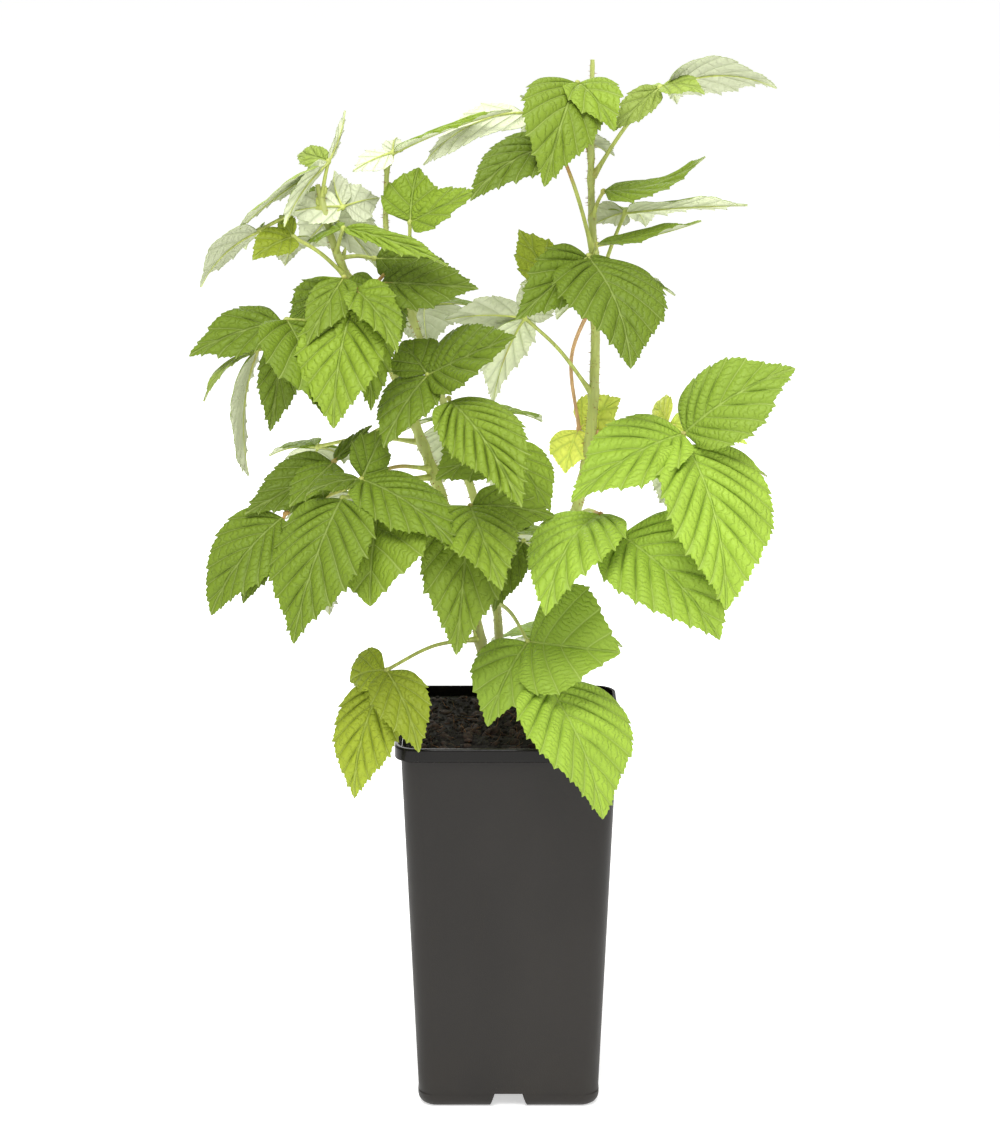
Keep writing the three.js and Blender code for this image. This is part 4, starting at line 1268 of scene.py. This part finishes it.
CAMERA = SimpleNamespace(
    place=(-0.0046, -1.466, 0.654), pitch=14, focal_pixels=2826, tall_pixels=1140, sensor=36.0,
)
FLOOR = SimpleNamespace(radius=60, sides=64, glow=0.54)
LIT = Vector((0, 0, 0.35))  # what every lamp points at
# Square lamps: name, place, width, power.
LAMPS = (
    ("key", (-0.3, -1.2, 2.1), 1.1, 38),
    ("fill", (1.4, -1.3, 1.0), 1.4, 6),
    ("top", (0.2, 0.2, 2.2), 1.2, 16),
    ("back", (-0.6, 1.7, 1.0), 1.2, 9),
)


class RASPBERRY_OT_stage(bpy.types.Operator):
    """Lay the pale floor and set the camera and the soft studio lights"""

    bl_idname = "raspberry.stage"
    bl_label = "Stage"

    def execute(self, context):
        scene = context.scene
        turn = np.linspace(0, 2 * math.pi, FLOOR.sides, endpoint=False)
        ring = [(FLOOR.radius * math.cos(a), FLOOR.radius * math.sin(a), 0) for a in turn]
        mesh = bpy.data.meshes.new("floor")
        mesh.from_pydata(ring, [], [tuple(range(FLOOR.sides))])
        mesh.materials.append(floor_finish())
        add_object("floor", mesh)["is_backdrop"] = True
        for lamp in LAMPS:
            self.add_lamp(*lamp)
        self.white_room(scene)
        lens = bpy.data.cameras.new("camera")
        lens.sensor_width = CAMERA.sensor
        lens.lens = CAMERA.sensor * CAMERA.focal_pixels / CAMERA.tall_pixels
        camera = add_object("camera", lens)
        camera.location = CAMERA.place
        camera.rotation_euler = (math.radians(90 - CAMERA.pitch), 0, 0)
        scene.camera = camera
        scene.view_settings.view_transform = "Standard"
        return {"FINISHED"}

    def add_lamp(self, name, place, size, power):
        lamp = bpy.data.lights.new(name, "AREA")
        lamp.size = size
        lamp.energy = power
        made = add_object(name, lamp)
        made.location = place
        made.rotation_euler = (LIT - Vector(place)).to_track_quat("-Z", "Y").to_euler()

    def white_room(self, scene):
        """Even white light from all round."""
        room = bpy.data.worlds.new("room")
        room.use_nodes = True
        shade = room.node_tree.nodes["Background"]
        shade.inputs["Color"].default_value = (1, 1, 1, 1)
        shade.inputs["Strength"].default_value = 0.5
        scene.world = room


# ---- panel and main -------------------------------------------------------------------------

BUILDERS = (
    RASPBERRY_OT_pot,
    RASPBERRY_OT_compost,
    RASPBERRY_OT_canes,
    RASPBERRY_OT_stalks,
    RASPBERRY_OT_leaves,
    RASPBERRY_OT_stage,
)


class RASPBERRY_PT_panel(bpy.types.Panel):
    """Lists the settings and the builders"""

    bl_idname = "RASPBERRY_PT_panel"
    bl_label = "Potted raspberry"
    bl_space_type = "VIEW_3D"
    bl_region_type = "UI"
    bl_category = "Raspberry"

    def draw(self, context):
        for group in (context.scene.raspberry_pot, context.scene.raspberry_plant):
            box = self.layout.box()
            for key in group.__annotations__:
                box.prop(group, key)
        for builder in BUILDERS:
            self.layout.operator(builder.bl_idname)


CLASSES = (RaspberryPotSettings, RaspberryPlantSettings, *BUILDERS, RASPBERRY_PT_panel)


def register():
    for part in CLASSES:
        bpy.utils.register_class(part)
    bpy.types.Scene.raspberry_pot = bpy.props.PointerProperty(type=RaspberryPotSettings)
    bpy.types.Scene.raspberry_plant = bpy.props.PointerProperty(type=RaspberryPlantSettings)


def unregister():
    del bpy.types.Scene.raspberry_plant
    del bpy.types.Scene.raspberry_pot
    for part in reversed(CLASSES):
        bpy.utils.unregister_class(part)


def main():
    register()
    bpy.ops.raspberry.pot()
    bpy.ops.raspberry.compost()
    bpy.ops.raspberry.canes()
    bpy.ops.raspberry.stalks()
    bpy.ops.raspberry.leaves()
    bpy.ops.raspberry.stage()
    boxes = {"cad": CAD_BOX, "visual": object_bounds()}
    {key: [list(corner) for corner in box] for key, box in boxes.items()}


if __name__ == "__main__":
    main()
